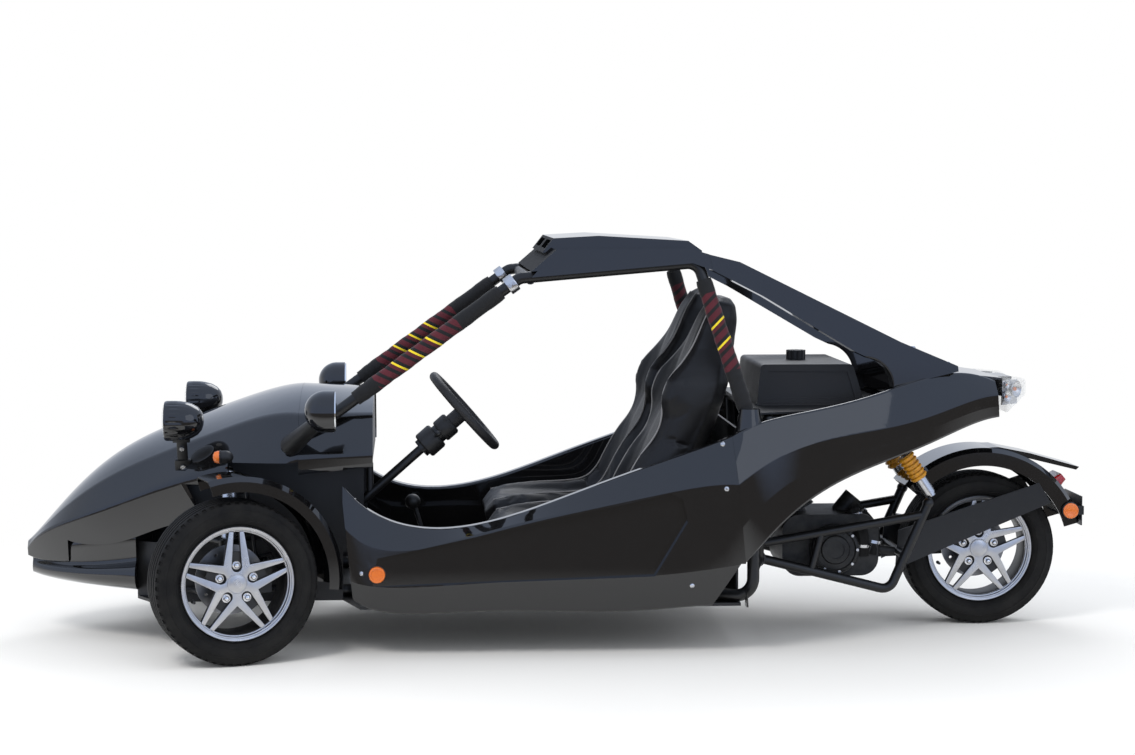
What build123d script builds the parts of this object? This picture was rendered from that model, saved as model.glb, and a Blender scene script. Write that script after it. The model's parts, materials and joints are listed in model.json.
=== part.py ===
from build123d import *
import os
from math import cos, pi, radians, sin

# Open three-wheeled roadster: two steered front wheels, one driven rear wheel, two bucket seats.
# Millimetres, +Z up, +X to the rear, +Y to the vehicle's right, ground at Z = 0.
# The left front corner and the left panels are modelled, and the right ones are their mirror images.

# Layout
FRONT_AXLE_X = -1108
WHEELBASE = 2546
REAR_AXLE_X = FRONT_AXLE_X + WHEELBASE
TRACK_HALF = 620
CLEARANCE = 0.3

# Wheels
TYRE_RADIUS = 262
TYRE_WIDTH = 165
BEAD_RADIUS = 170
FLANGE_RADIUS = 182
FLANGE_WIDTH = 8
RIM_WALL = 8
SPOKE_THICKNESS = 22
SPOKE_FACE_INSET = 12
STAR_NOTCH = 72
STAR_TIP_HALF = 24
STAR_SLOT_HALF = 9
LUG_CIRCLE = 114.3
LUG_POCKET_RADIUS = 17
LUG_POCKET_DEPTH = 12
LUG_POCKET_REACH = 100
LUG_NUT_RADIUS = 11
SPOKE_PAIRS = 5
HUB_BOSS_RADIUS = 42
HUB_BOSS_LENGTH = 70
STUB_RADIUS = 20
DISC_RADIUS = 112
DISC_THICKNESS = 8
AXLE_Z = TYRE_RADIUS

# Steering
KINGPIN_INSET = 85
KINGPIN_Y = TRACK_HALF - KINGPIN_INSET
KINGPIN_RADIUS = 12
PARKED_LOCK = 18
STEERING_ARM = 110
STEERING_ARM_INSET = 20
TIE_ROD_RADIUS = 9
TIE_ROD_Z = AXLE_Z + 10
WHEEL_ARCH_FRONT = 330
WHEEL_ARCH_FRONT_Y = 393
WHEEL_ARCH_FRONT_TOP = 545
WHEEL_ARCH_REAR = 372
WHEEL_ARCH_REAR_Y = 346
WHEEL_ARCH_TOP = 618
STEERING_WHEEL_RADIUS = 150
STEERING_GRIP_RADIUS = 15
STEERING_CENTRE = Vector(-341, -300, 770)
COLUMN_RAKE = 41.3
COLUMN_AXIS = Vector(cos(radians(COLUMN_RAKE)), 0, sin(radians(COLUMN_RAKE)))

# Body shell
SHELL = 6
WALL_Y = 336
WALL_THICKNESS = 8
FLOOR_Z = 150
FLOOR_THICKNESS = 10
FLOOR_HALF = 528
FLOOR_FRONT_X = -1420
FOOTWELL_TOP = WHEEL_ARCH_TOP - 6
SEAM_X = 532
SEAM_GAP = 0.5
SEAM_TILT = 5.8
SEAM_Z = 490
SIDE_WALL = 45
QUARTER_WALL = 30

# Tubes
CAGE_RADIUS = 19
SLEEVE_RADIUS = 27
RAIL_RADIUS = 20
SWING_TUBE = 16
WELD_SWELL = 1.2
FRAME_BEND = 60
CAGE_BEND = 45


def rod(start, end, radius, mode=Mode.ADD):
    """Add a straight round bar between two points to the open part."""
    first = Vector(*start)
    last = Vector(*end)
    with Locations(Plane(origin=(first + last) * 0.5, z_dir=last - first)):
        Cylinder(radius, (last - first).length, mode=mode)


def knot(points, radius):
    """Add a weld ball, a little fatter than its bars, at each point."""
    with Locations(*points):
        Sphere(radius * WELD_SWELL)


def bent_bar(points, radius, bend):
    """Add a round bar that runs through the points with bends of one radius to the open part."""
    with BuildLine() as path:
        FilletPolyline(*points, radius=bend)
    with BuildSketch(Plane(origin=path.line @ 0, z_dir=path.line % 0)) as section:
        Circle(radius)
    sweep(section.sketch, path=path.line)


def both_sides(point):
    """Return a point and its mirror image across the vehicle's centre plane."""
    x, y, z = point
    return (x, y, z), (x, -y, z)


def write_piece(piece, name):
    """Label a finished piece and write its STEP file."""
    piece.label = name
    export_step(piece, f"parts/{name}.step")


os.makedirs("parts", exist_ok=True)


# Nose cowl and scuttle, lofted through cross-sections
# x, z_low, z_side, z_crease, z_crown, w_low, w_side, w_crease, corner
NOSE_ROWS = [
    (-1812, 262, 288, 306, 311, 14, 24, 12, 4),
    (-1660, 252, 395, 448, 478, 132, 172, 130, 16),
    (-1480, 276, 470, 566, 627, 252, 284, 226, 28),
    (-1250, 300, 563, 668, 731, 350, 400, 306, 36),
    (-1060, 312, 604, 740, 798, 400, 454, 352, 40),
    (-880, 322, 640, 769, 838, 420, 478, 400, 40),
]
SCUTTLE_ROWS = [
    (-880 + SEAM_GAP, 560, 640, 769, 838, 470, 478, 400, 40),
    (-640, 585, 650, 772, 826, 474, 484, 420, 40),
]
NOSE_SOLID_ROWS = 1
COWL_OPEN = 80


def cowl_section(row, inset=0.0, drop=0.0):
    """Return one cross-section face of the cowl, drawn in by inset, its floor lowered by drop."""
    x, z_low, z_side, z_crease, z_crown, w_low, w_side, w_crease, corner = row
    low = z_low + inset - drop
    with BuildSketch(Plane(origin=(x, 0, 0), x_dir=(0, 1, 0), z_dir=(1, 0, 0))) as section:
        with BuildLine():
            Polyline(
                (-w_crease + inset, z_crease - inset),
                (-w_side + inset, z_side),
                (-w_low + inset, low),
                (w_low - inset, low),
                (w_side - inset, z_side),
                (w_crease - inset, z_crease - inset),
            )
            ThreePointArc(
                (w_crease - inset, z_crease - inset),
                (0, z_crown - inset),
                (-w_crease + inset, z_crease - inset),
            )
        make_face()
        fillet(section.vertices(), corner - min(inset, corner / 2))
    return section.sketch


def wheel_arches():
    """Cut the space that both steered front wheels and their mudguards sweep."""
    # length, inner edge, top
    front = (WHEEL_ARCH_FRONT, WHEEL_ARCH_FRONT_Y, WHEEL_ARCH_FRONT_TOP)
    rear = (WHEEL_ARCH_REAR, WHEEL_ARCH_REAR_Y, WHEEL_ARCH_TOP)
    for side in (-1, 1):
        outward = Align.MIN if side > 0 else Align.MAX
        for (length, inner_y, top), along_x in ((front, Align.MAX), (rear, Align.MIN)):
            with Locations((FRONT_AXLE_X, side * inner_y, 0)):
                Box(length, TRACK_HALF, top, align=(along_x, outward, Align.MIN), mode=Mode.SUBTRACT)


# Where the cage, lamps and mirrors stand on the cowl
PILLAR_Y = 440
PILLAR_TOP = (-164, -PILLAR_Y, 1211)
PILLAR_FOOT = (-845, -PILLAR_Y, 714)
HOOP_TOP = (412, -450, 1261)
HOOP_FOOT = (588, -540, 700)
DASH_BAR_RADIUS = 16
CAGE_LEG_Y = 332
CROSS_BAR_INSET = 34
LAMP_RADIUS = 65
LAMP_FRONT_X = -1306
LAMP_BACK_X = -1183
LAMP_Y = 410
LAMP_Z = 752
LAMP_POST = ((-1256, -LAMP_Y, 700), (-1256, -352, 588))
LAMP_POST_RADIUS = 13
INDICATOR_RADIUS = 21
INDICATOR_X = -1125
INDICATOR_Y = 478
INDICATOR_Z = 641
INDICATOR_STEM = 7
INDICATOR_STEM_X = INDICATOR_X + 12
MIRROR_RADIUS = 66
MIRROR_X = -756
MIRROR_LENGTH = 96
MIRROR_Y = 640
MIRROR_Z = 800
MIRROR_STALK = ((-800, -MIRROR_Y + 20, 775), (-922, -430, 655))
MIRROR_STALK_RADIUS = 20

nose_outer = [cowl_section(row) for row in NOSE_ROWS]
nose_inner = [cowl_section(row, SHELL, drop=COWL_OPEN) for row in NOSE_ROWS[NOSE_SOLID_ROWS:]]
scuttle_outer = [cowl_section(row) for row in SCUTTLE_ROWS]
scuttle_inner = [cowl_section(row, SHELL, drop=COWL_OPEN) for row in SCUTTLE_ROWS]

with BuildPart() as nose_cowl:
    loft(nose_outer)
    loft(nose_inner, mode=Mode.SUBTRACT)
    wheel_arches()
    for start, end in (LAMP_POST,):
        for a, b in zip(both_sides(start), both_sides(end)):
            rod(a, b, LAMP_POST_RADIUS + CLEARANCE, Mode.SUBTRACT)
    for a, b in zip(both_sides(MIRROR_STALK[0]), both_sides(MIRROR_STALK[1])):
        rod(a, b, MIRROR_STALK_RADIUS + CLEARANCE, Mode.SUBTRACT)
    for side in (-1, 1):
        stem = (INDICATOR_STEM_X, side * INDICATOR_Y, INDICATOR_Z)
        rod(stem, (INDICATOR_STEM_X, side * 380, INDICATOR_Z), INDICATOR_STEM + CLEARANCE, Mode.SUBTRACT)

with BuildPart() as scuttle:
    loft(scuttle_outer)
    loft(scuttle_inner, mode=Mode.SUBTRACT)
    for a, b in zip(both_sides(PILLAR_TOP), both_sides(PILLAR_FOOT)):
        rod(a, b, CAGE_RADIUS + CLEARANCE, Mode.SUBTRACT)
    rod(*both_sides(PILLAR_FOOT), DASH_BAR_RADIUS + CLEARANCE, Mode.SUBTRACT)

# Nose lip under the cowl: x, z_low, z_high, w_low, w_high, corner
LIP_ROWS = [
    (-1799, 197, 240, 10, 20, 5),
    (-1655, 172, 247, 112, 168, 22),
    (FLOOR_FRONT_X - CLEARANCE, 155, 280, 296, 350, 26),
]
# The neck that rises from the lip inside the cowl and darkens the groove between them
NECK_ROWS = [
    (-1650, 215, 300, 104, 104, 4),
    (-1480, 215, 318, 222, 222, 4),
    (FLOOR_FRONT_X - CLEARANCE, 215, 325, 250, 250, 4),
]


def lip_section(row):
    """Return one cross-section face of the lower nose lip."""
    x, z_low, z_high, w_low, w_high, corner = row
    with BuildSketch(Plane(origin=(x, 0, 0), x_dir=(0, 1, 0), z_dir=(1, 0, 0))) as section:
        with BuildLine():
            Polyline(
                (-w_high, z_high), (-w_low, z_low), (w_low, z_low), (w_high, z_high), close=True
            )
        make_face()
        fillet(section.vertices(), corner)
    return section.sketch


lip_sections = [lip_section(row) for row in LIP_ROWS]
neck_sections = [lip_section(row) for row in NECK_ROWS]

with BuildPart() as nose_lip:
    loft(lip_sections)
    loft(neck_sections, ruled=True)


# Side panels and rear quarters, lofted along the vehicle on planes that lean with the panel seam
# x, z_bottom, z_ledge, z_crease, z_top, y_bottom, y_ledge, y_crease, y_top
SIDE_ROWS = [
    (-735, 190, 250, 420, 565, 575, 588, 576, 545),
    (-616, 143, 232, 356, 455, 575, 620, 615, 572),
    (-430, 143, 238, 374, 417, 580, 627, 625, 580),
    (-120, 145, 252, 450, 483, 580, 630, 630, 585),
    (250, 148, 266, 525, 613, 580, 635, 635, 590),
    (SEAM_X - SEAM_GAP, 150, 300, 560, 710, 580, 628, 640, 588),
]
QUARTER_ROWS = [
    (SEAM_X, 300, 420, 560, 710, 615, 630, 640, 588),
    (620, 382, 500, 612, 749, 600, 606, 608, 578),
    (800, 511, 600, 682, 784, 540, 548, 552, 523),
    (1060, 612, 668, 722, 836, 450, 458, 462, 428),
    (1300, 690, 735, 777, 888, 345, 355, 362, 322),
    (1475, 737, 775, 815, 858, 280, 288, 293, 262),
]
PANEL_CORNER = 9


def panel_section(row, thickness):
    """Return one cross-section face of a left-hand panel of the given wall thickness."""
    x, z_bottom, z_ledge, z_crease, z_top, y_bottom, y_ledge, y_crease, y_top = row
    lean = radians(SEAM_TILT)
    plane = Plane(origin=(x, 0, SEAM_Z), x_dir=(0, 1, 0), z_dir=(cos(lean), 0, sin(lean)))
    outer = [(y_bottom, z_bottom), (y_ledge, z_ledge), (y_crease, z_crease), (y_top, z_top)]
    inner = [(y_top - thickness, z_top), (y_bottom - thickness, z_bottom)]
    with BuildSketch(plane) as section:
        with BuildLine():
            Polyline(*[(-y, z - SEAM_Z) for y, z in outer + inner], close=True)
        make_face()
        fillet(section.vertices(), PANEL_CORNER)
    return section.sketch


POCKET_Y = 612
POCKET = [(-664, 320), (312, 532), (347, 509), (363, 439), (258, 266), (-693, 236)]
POCKET_DEPTH = 60
SILL_CUT = [(441, 100), (441, 150), (535, 302), (560, 302), (560, 100)]
REFLECTOR_RADIUS = 27
REFLECTOR_THICKNESS = 10
REFLECTOR_X = -627
REFLECTOR_Z = 277
REFLECTOR_Y = 606
BOOT_Z = (694, 792)
BOOT_RADII = (50, 33)
BOOT_CENTRE = (571, -540)

side_sections = [panel_section(row, SIDE_WALL) for row in SIDE_ROWS]
quarter_sections = [panel_section(row, QUARTER_WALL) for row in QUARTER_ROWS]

with BuildPart() as side_panel_left:
    loft(side_sections)
    wheel_arches()
    with BuildSketch(Plane.XZ.offset(POCKET_Y)):
        Polygon(*POCKET, align=None)
    extrude(amount=POCKET_DEPTH, mode=Mode.SUBTRACT)
    with BuildSketch(Plane.XZ):
        Polygon(*SILL_CUT, align=None)
    extrude(amount=2 * TRACK_HALF, mode=Mode.SUBTRACT)
    with Locations(Plane(origin=(REFLECTOR_X, -REFLECTOR_Y, REFLECTOR_Z), z_dir=(0, -1, 0))):
        Cylinder(
            REFLECTOR_RADIUS + CLEARANCE,
            POCKET_DEPTH,
            align=(Align.CENTER, Align.CENTER, Align.MIN),
            mode=Mode.SUBTRACT,
        )

with BuildPart() as side_panel_right:
    mirror(side_panel_left.part, about=Plane.XZ)

with BuildPart() as rear_quarter_left:
    loft(quarter_sections)
    with Locations((*BOOT_CENTRE, BOOT_Z[0])):
        Cone(*BOOT_RADII, BOOT_Z[1] - BOOT_Z[0], align=(Align.CENTER, Align.CENTER, Align.MIN))
    rod(HOOP_TOP, HOOP_FOOT, CAGE_RADIUS + CLEARANCE, Mode.SUBTRACT)

with BuildPart() as rear_quarter_right:
    mirror(rear_quarter_left.part, about=Plane.XZ)


# Floor pan with the footwell walls, the tunnel and the bulkhead behind the seats
WALL_FRONT_X = -1255
WALL_REAR_X = -742
BOARD_TOP = 340
KICK_REAR_X = -672
KICK_LOW = 310
BULKHEAD_X = 548
BULKHEAD_HALF = 460
BULKHEAD_HEIGHT = 570
TUNNEL_HALF = 70
TUNNEL_TOP = 290
RACK_X = FRONT_AXLE_X + STEERING_ARM
RACK_HOLE = 24

with BuildPart() as floor_pan:
    with BuildSketch(Plane.XY.offset(FLOOR_Z)):
        with BuildLine():
            Polyline(
                (FLOOR_FRONT_X, -250),
                (FLOOR_FRONT_X + 50, -WALL_Y),
                (WALL_REAR_X, -WALL_Y),
                (WALL_REAR_X + 60, -FLOOR_HALF),
                (BULKHEAD_X, -FLOOR_HALF),
                (BULKHEAD_X, FLOOR_HALF),
                (WALL_REAR_X + 60, FLOOR_HALF),
                (WALL_REAR_X, WALL_Y),
                (FLOOR_FRONT_X + 50, WALL_Y),
                (FLOOR_FRONT_X, 250),
                close=True,
            )
        make_face()
    extrude(amount=FLOOR_THICKNESS)
    for side in (-1, 1):
        with Locations(((WALL_FRONT_X + WALL_REAR_X) / 2, side * (WALL_Y - WALL_THICKNESS / 2), FLOOR_Z)):
            Box(
                WALL_REAR_X - WALL_FRONT_X,
                WALL_THICKNESS,
                FOOTWELL_TOP - FLOOR_Z,
                align=(Align.CENTER, Align.CENTER, Align.MIN),
            )
        with Locations((WALL_REAR_X, side * (WALL_Y - WALL_THICKNESS / 2), KICK_LOW)):
            Box(
                2 * (KICK_REAR_X - WALL_REAR_X),
                WALL_THICKNESS,
                FOOTWELL_TOP - KICK_LOW,
                align=(Align.CENTER, Align.CENTER, Align.MIN),
            )
        with BuildSketch(Plane.XY.offset(FLOOR_Z)):
            Polygon(
                (FLOOR_FRONT_X, side * 250),
                (WALL_FRONT_X + 5, side * WALL_Y),
                (WALL_FRONT_X + 5, side * (WALL_Y - WALL_THICKNESS)),
                (FLOOR_FRONT_X, side * (250 - WALL_THICKNESS)),
                align=None,
            )
        extrude(amount=BOARD_TOP - FLOOR_Z)
    rod((RACK_X, -FLOOR_HALF, TIE_ROD_Z), (RACK_X, FLOOR_HALF, TIE_ROD_Z), RACK_HOLE, Mode.SUBTRACT)
    with BuildSketch(Plane.XZ.offset(-TUNNEL_HALF)):
        Polygon(
            (-560, FLOOR_Z), (-530, TUNNEL_TOP), (300, TUNNEL_TOP), (BULKHEAD_X - 30, FLOOR_Z + 50),
            (BULKHEAD_X - 30, FLOOR_Z), align=None,
        )
    extrude(amount=2 * TUNNEL_HALF)
    with Locations((BULKHEAD_X, 0, FLOOR_Z)):
        Box(8, 2 * BULKHEAD_HALF, BULKHEAD_HEIGHT, align=(Align.MAX, Align.CENTER, Align.MIN))


# Chassis frame: sill rails, posts behind the seats and the rear shelf rails
SILL_RAIL_Z = FLOOR_Z + FLOOR_THICKNESS + RAIL_RADIUS + CLEARANCE
SILL_RAIL_Y = 476
FRONT_RAIL_Y = WALL_Y - WALL_THICKNESS - RAIL_RADIUS - CLEARANCE
SHELF_RAIL_Z = 752
SHELF_RAIL_RADIUS = 16
SHELF_Z = SHELF_RAIL_Z + SHELF_RAIL_RADIUS * WELD_SWELL + CLEARANCE
SHELF_THICKNESS = 6
SHELF_FRONT = (640, -490)
SHELF_REAR = (1130, -335)
TAIL_RAIL_END = (1440, -200, 790.4)
SHOCK_TOP = (1147, -200, 600)
SHOCK_LOW = (1240, -200, 452)
SWING_PIVOT = (640, -220, 262)

FRAME_POST = (HOOP_FOOT[0], HOOP_FOOT[1] + 14)
frame_points = [
    (-1330, -FRONT_RAIL_Y + 40, SILL_RAIL_Z),
    (WALL_REAR_X + 40, -FRONT_RAIL_Y, SILL_RAIL_Z),
    (WALL_REAR_X + 170, -SILL_RAIL_Y, SILL_RAIL_Z),
    (HOOP_FOOT[0] - 110, -SILL_RAIL_Y, SILL_RAIL_Z),
    (*FRAME_POST, SILL_RAIL_Z),
    (*FRAME_POST, HOOP_FOOT[2] - 7),
]
shelf_points = [
    (*SHELF_FRONT, SHELF_RAIL_Z),
    (*SHELF_REAR, SHELF_RAIL_Z),
    TAIL_RAIL_END,
]
pivot_mount = (SWING_PIVOT[0], SWING_PIVOT[1] - 60, SWING_PIVOT[2])
shock_up = (Vector(*SHOCK_TOP) - Vector(*SHOCK_LOW)).normalized() * (SHELF_RAIL_RADIUS * WELD_SWELL + CLEARANCE)
shock_mount = (SHOCK_TOP[0] + shock_up.X, SHOCK_TOP[1], SHOCK_TOP[2] + shock_up.Z)

with BuildPart() as chassis_frame:
    for flip in (1, -1):
        rails, shelf = [[(x, flip * y, z) for x, y, z in run] for run in (frame_points, shelf_points)]
        mount = (pivot_mount[0], flip * pivot_mount[1], pivot_mount[2])
        shock_eye = (shock_mount[0], flip * shock_mount[1], shock_mount[2])
        bent_bar(rails, RAIL_RADIUS, FRAME_BEND)
        bent_bar(shelf, SHELF_RAIL_RADIUS, FRAME_BEND)
        rod((*rails[-1][:2], mount[2]), mount, SHELF_RAIL_RADIUS)
        rod(shelf[0], mount, SHELF_RAIL_RADIUS)
        rod(shelf[1], shock_eye, SHELF_RAIL_RADIUS)
        knot([mount, shelf[0], shelf[1], shock_eye], SHELF_RAIL_RADIUS)
    for bar in (frame_points[0], shelf_points[0], shelf_points[2], shock_mount, pivot_mount):
        rod(*both_sides(bar), SHELF_RAIL_RADIUS)

with BuildPart() as rear_shelf:
    with BuildSketch(Plane.XY.offset(SHELF_Z)):
        Polygon((610, -520), (1100, -365), (1100, 365), (610, 520), align=None)
    extrude(amount=SHELF_THICKNESS)


# Roll cage, its padded sleeves and the roof panel
SLEEVE_SPANS = [
    (PILLAR_TOP, PILLAR_FOOT, 0.09, 0.78),
    (HOOP_TOP, HOOP_FOOT, 0.10, 0.80),
]


def along(start, end, share):
    """Return the point at a share of the way from start to end."""
    return Vector(*start) + (Vector(*end) - Vector(*start)) * share


with BuildPart() as roll_cage:
    for flip in (1, -1):
        run = [(x, flip * y, z) for x, y, z in (PILLAR_FOOT, PILLAR_TOP, HOOP_TOP, HOOP_FOOT)]
        bent_bar(run, CAGE_RADIUS, CAGE_BEND)
        foot = (PILLAR_FOOT[0], flip * CAGE_LEG_Y, PILLAR_FOOT[2])
        rod(foot, (PILLAR_FOOT[0], flip * CAGE_LEG_Y, FOOTWELL_TOP + CLEARANCE), DASH_BAR_RADIUS)
    rod(*both_sides(PILLAR_FOOT), DASH_BAR_RADIUS)
    for corner_point in (PILLAR_TOP, HOOP_TOP):
        x, y, z = corner_point
        inset = CROSS_BAR_INSET if corner_point is PILLAR_TOP else -CROSS_BAR_INSET
        rod(*both_sides((x + inset, y, z - 4)), CAGE_RADIUS - 2)

with BuildPart() as cage_sleeves:
    for start, end, first, last in SLEEVE_SPANS:
        for flip in (1, -1):
            low = Vector(start[0], flip * start[1], start[2])
            high = Vector(end[0], flip * end[1], end[2])
            top = along(low, high, first)
            bottom = along(low, high, last)
            rod(top, bottom, SLEEVE_RADIUS)
            rod(low, high, CAGE_RADIUS + CLEARANCE, Mode.SUBTRACT)

ROOF_LIFT = CAGE_RADIUS + CLEARANCE
ROOF_EDGE_HALF = 484
ROOF_SKIRT = 6
ROOF_RAISED_HALF = 330
roof_slope = (HOOP_TOP[2] - PILLAR_TOP[2]) / (HOOP_TOP[0] - PILLAR_TOP[0])


def rail_z(x):
    """Return the height of the cage's roof rails at a given length station."""
    return PILLAR_TOP[2] + roof_slope * (x - PILLAR_TOP[0])


BUTTRESS_FRONT = (440, -ROOF_EDGE_HALF)
ROOF_FRONT_X = -128
ROOF_REAR_X = 392
ROOF_PROFILE = [
    (ROOF_FRONT_X, rail_z(ROOF_FRONT_X) + ROOF_LIFT),
    (-48, 1303),
    (ROOF_REAR_X, 1306),
    (ROOF_REAR_X, rail_z(ROOF_REAR_X) + ROOF_LIFT),
]
SKIRT_PROFILE = [
    (ROOF_FRONT_X, rail_z(ROOF_FRONT_X)),
    (-48, 1300),
    (ROOF_REAR_X, 1303),
    (BUTTRESS_FRONT[0] + 5, 1288),
    (BUTTRESS_FRONT[0] + 17, 1237),
    (ROOF_REAR_X, rail_z(ROOF_REAR_X)),
]
SCOOP_PROFILE = [(-100, 1299), (-100, 1329), (40, 1329), (40, 1314), (-60, 1306)]
SCOOP_Y = 165
SCOOP_WIDTH = 230
RAISED_PROFILE = [(-85, 1290), (-48, 1337), (100, 1345), (395, 1328), (440, 1296), (440, 1285)]

with BuildPart() as roof_panel:
    with BuildSketch(Plane.XZ.offset(-ROOF_EDGE_HALF)):
        Polygon(*ROOF_PROFILE, align=None)
    extrude(amount=2 * ROOF_EDGE_HALF)
    for side in (-1, 1):
        inner = side * (ROOF_EDGE_HALF - ROOF_SKIRT)
        with BuildSketch(Plane(origin=(0, inner, 0), x_dir=(1, 0, 0), z_dir=(0, -1, 0))):
            Polygon(*SKIRT_PROFILE, align=None)
        extrude(amount=-side * ROOF_SKIRT)
    with BuildSketch(Plane.XZ.offset(-ROOF_RAISED_HALF)):
        Polygon(*RAISED_PROFILE, align=None)
    extrude(amount=2 * ROOF_RAISED_HALF)
    for side in (-1, 1):
        with BuildSketch(Plane.XZ.offset(side * SCOOP_Y - SCOOP_WIDTH / 2)):
            Polygon(*SCOOP_PROFILE, align=None)
        extrude(amount=SCOOP_WIDTH, mode=Mode.SUBTRACT)
    rod(*both_sides(HOOP_TOP), CAGE_RADIUS + CLEARANCE, Mode.SUBTRACT)
    rod(*both_sides((HOOP_TOP[0] + 40, HOOP_TOP[1], HOOP_TOP[2])), CAGE_RADIUS, Mode.SUBTRACT)


# Buttresses from the roof to the tail
BUTTRESS_REAR = (1300, -335)
BUTTRESS_THICKNESS = 40
buttress_dir = Vector(BUTTRESS_REAR[0] - BUTTRESS_FRONT[0], BUTTRESS_REAR[1] - BUTTRESS_FRONT[1], 0)
buttress_plane = Plane(
    origin=(*BUTTRESS_FRONT, 0),
    x_dir=buttress_dir,
    z_dir=Vector(buttress_dir.Y, -buttress_dir.X, 0),
)

with BuildPart() as buttress_left:
    with BuildSketch(buttress_plane):
        with BuildLine():
            Polyline((640, 846), (870, 894), (868, 912), (665, 995), (110, 1262), (6, 1287), (18, 1236))
            Polyline((18, 1236), (190, 1150), (505, 966), (555, 943))
            ThreePointArc((555, 943), (622, 900), (640, 846))
        make_face()
    extrude(amount=-BUTTRESS_THICKNESS)
    add(rear_quarter_left.part, mode=Mode.SUBTRACT)
    fillet(buttress_left.edges().filter_by(GeomType.CIRCLE), 6)

with BuildPart() as buttress_right:
    mirror(buttress_left.part, about=Plane.XZ)


# Tail deck between the quarters, with a wedge lamp at each corner
# x, z_low, z_high, half_width
TAIL_ROWS = [(1105, 800, 838, 360), (1300, 835, 884, 262), (1476, 800, 862, 204)]
TAIL_LAMP_INNER_Y = 90
TAIL_LAMP_ROWS = [(1476 + CLEARANCE, 745, 862, 268), (1562, 802, 858, 190)]


def slab_section(x, z_low, z_high, y_low, y_high):
    """Return a rectangular cross-section face at a length station."""
    with BuildSketch(Plane(origin=(x, 0, 0), x_dir=(0, 1, 0), z_dir=(1, 0, 0))) as section:
        Polygon((y_low, z_low), (y_high, z_low), (y_high, z_high), (y_low, z_high), align=None)
    return section.sketch


tail_sections = [slab_section(x, low, high, -half, half) for x, low, high, half in TAIL_ROWS]
lamp_sections = [slab_section(x, low, high, -half, -TAIL_LAMP_INNER_Y) for x, low, high, half in TAIL_LAMP_ROWS]

with BuildPart() as tail_deck:
    loft(tail_sections, ruled=True)
    with Locations((1476, 0, 800)):
        Box(60, 2 * (TAIL_LAMP_INNER_Y - CLEARANCE), 58, align=(Align.MIN, Align.CENTER, Align.MIN))

with BuildPart() as tail_lamps:
    loft(lamp_sections, ruled=True)
    mirror(about=Plane.XZ)


# Fuel tank with its filler cap
TANK_BOTTOM = SHELF_Z + SHELF_THICKNESS + CLEARANCE
TANK_TOP = 914
TANK_HALF = 250
TANK_PROFILE = [(636, TANK_BOTTOM), (648, TANK_TOP), (958, TANK_TOP), (1000, TANK_BOTTOM)]
TANK_CAP_X = 805
TANK_CAP_RADIUS = 33
TANK_CAP_HEIGHT = 32
TANK_FILLET = 16
TANK_INSET = 5

with BuildPart() as fuel_tank:
    with BuildSketch(Plane.XZ.offset(-TANK_HALF)):
        Polygon(*TANK_PROFILE, align=None)
    extrude(amount=2 * TANK_HALF)
    fillet(fuel_tank.edges().filter_by(Axis.Y).group_by(Axis.Z)[-1], TANK_FILLET)
    for side in (-1, 1):
        with BuildSketch(Plane(origin=(0, side * TANK_HALF, 0), x_dir=(1, 0, 0), z_dir=(0, -1, 0))):
            Polygon((668, 798), (674, 892), (940, 889), (968, 798), align=None)
        extrude(amount=side * TANK_INSET, mode=Mode.SUBTRACT)
        with Locations((815, side * TANK_HALF, TANK_BOTTOM)):
            Box(370, 24, 7, align=(Align.CENTER, Align.CENTER, Align.MIN))

with BuildPart() as fuel_cap:
    with Locations((TANK_CAP_X, 0, TANK_TOP + CLEARANCE)):
        Cylinder(TANK_CAP_RADIUS, TANK_CAP_HEIGHT, align=(Align.CENTER, Align.CENTER, Align.MIN))
    with Locations((TANK_CAP_X, 0, TANK_TOP + TANK_CAP_HEIGHT / 2)):
        with PolarLocations(TANK_CAP_RADIUS, 12):
            Cylinder(3.5, TANK_CAP_HEIGHT * 2, mode=Mode.SUBTRACT)


# Bucket seats on runners
SEAT_Y = 285
SEAT_HALF = 215
SEAT_CHANNEL_HALF = 130
SEAT_SHOULDER = 75
SEAT_PROFILE = [
    (-290, 300), (-292, 430), (-240, 446), (140, 420), (205, 560), (318, 690), (312, 845),
    (405, 960), (470, 1145), (520, 1165), (555, 1140), (520, 900), (440, 640), (350, 330), (200, 232), (-200, 232),
]
CHANNEL_PROFILE = [
    (-320, 455), (-200, 388), (150, 372), (230, 520), (375, 860), (400, 955), (300, 900), (-320, 900),
]
RUNNER_Z = FLOOR_Z + FLOOR_THICKNESS

with BuildPart() as seat_left:
    with BuildSketch(Plane.XZ.offset(SEAT_Y - SEAT_HALF)):
        Polygon(*SEAT_PROFILE, align=None)
    extrude(amount=2 * SEAT_HALF)
    with BuildSketch(Plane.XZ.offset(SEAT_Y - SEAT_CHANNEL_HALF)):
        Polygon(*CHANNEL_PROFILE, align=None)
    extrude(amount=2 * SEAT_CHANNEL_HALF, mode=Mode.SUBTRACT)
    for side in (-1, 1):
        edge = -SEAT_Y + side * SEAT_HALF
        with BuildSketch(Plane(origin=(0, edge, 0), x_dir=(1, 0, 0), z_dir=(0, -1, 0))):
            Polygon((395, 840), (700, 840), (700, 1200), (395, 1200), align=None)
        extrude(amount=side * SEAT_SHOULDER, mode=Mode.SUBTRACT)

with BuildPart() as seat_right:
    mirror(seat_left.part, about=Plane.XZ)

with BuildPart() as seat_runners:
    for side in (-1, 1):
        for offset_y in (-150, 150):
            with Locations((0, side * SEAT_Y + offset_y, RUNNER_Z)):
                Box(390, 36, 232 - CLEARANCE - RUNNER_Z, align=(Align.CENTER, Align.CENTER, Align.MIN))


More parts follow.
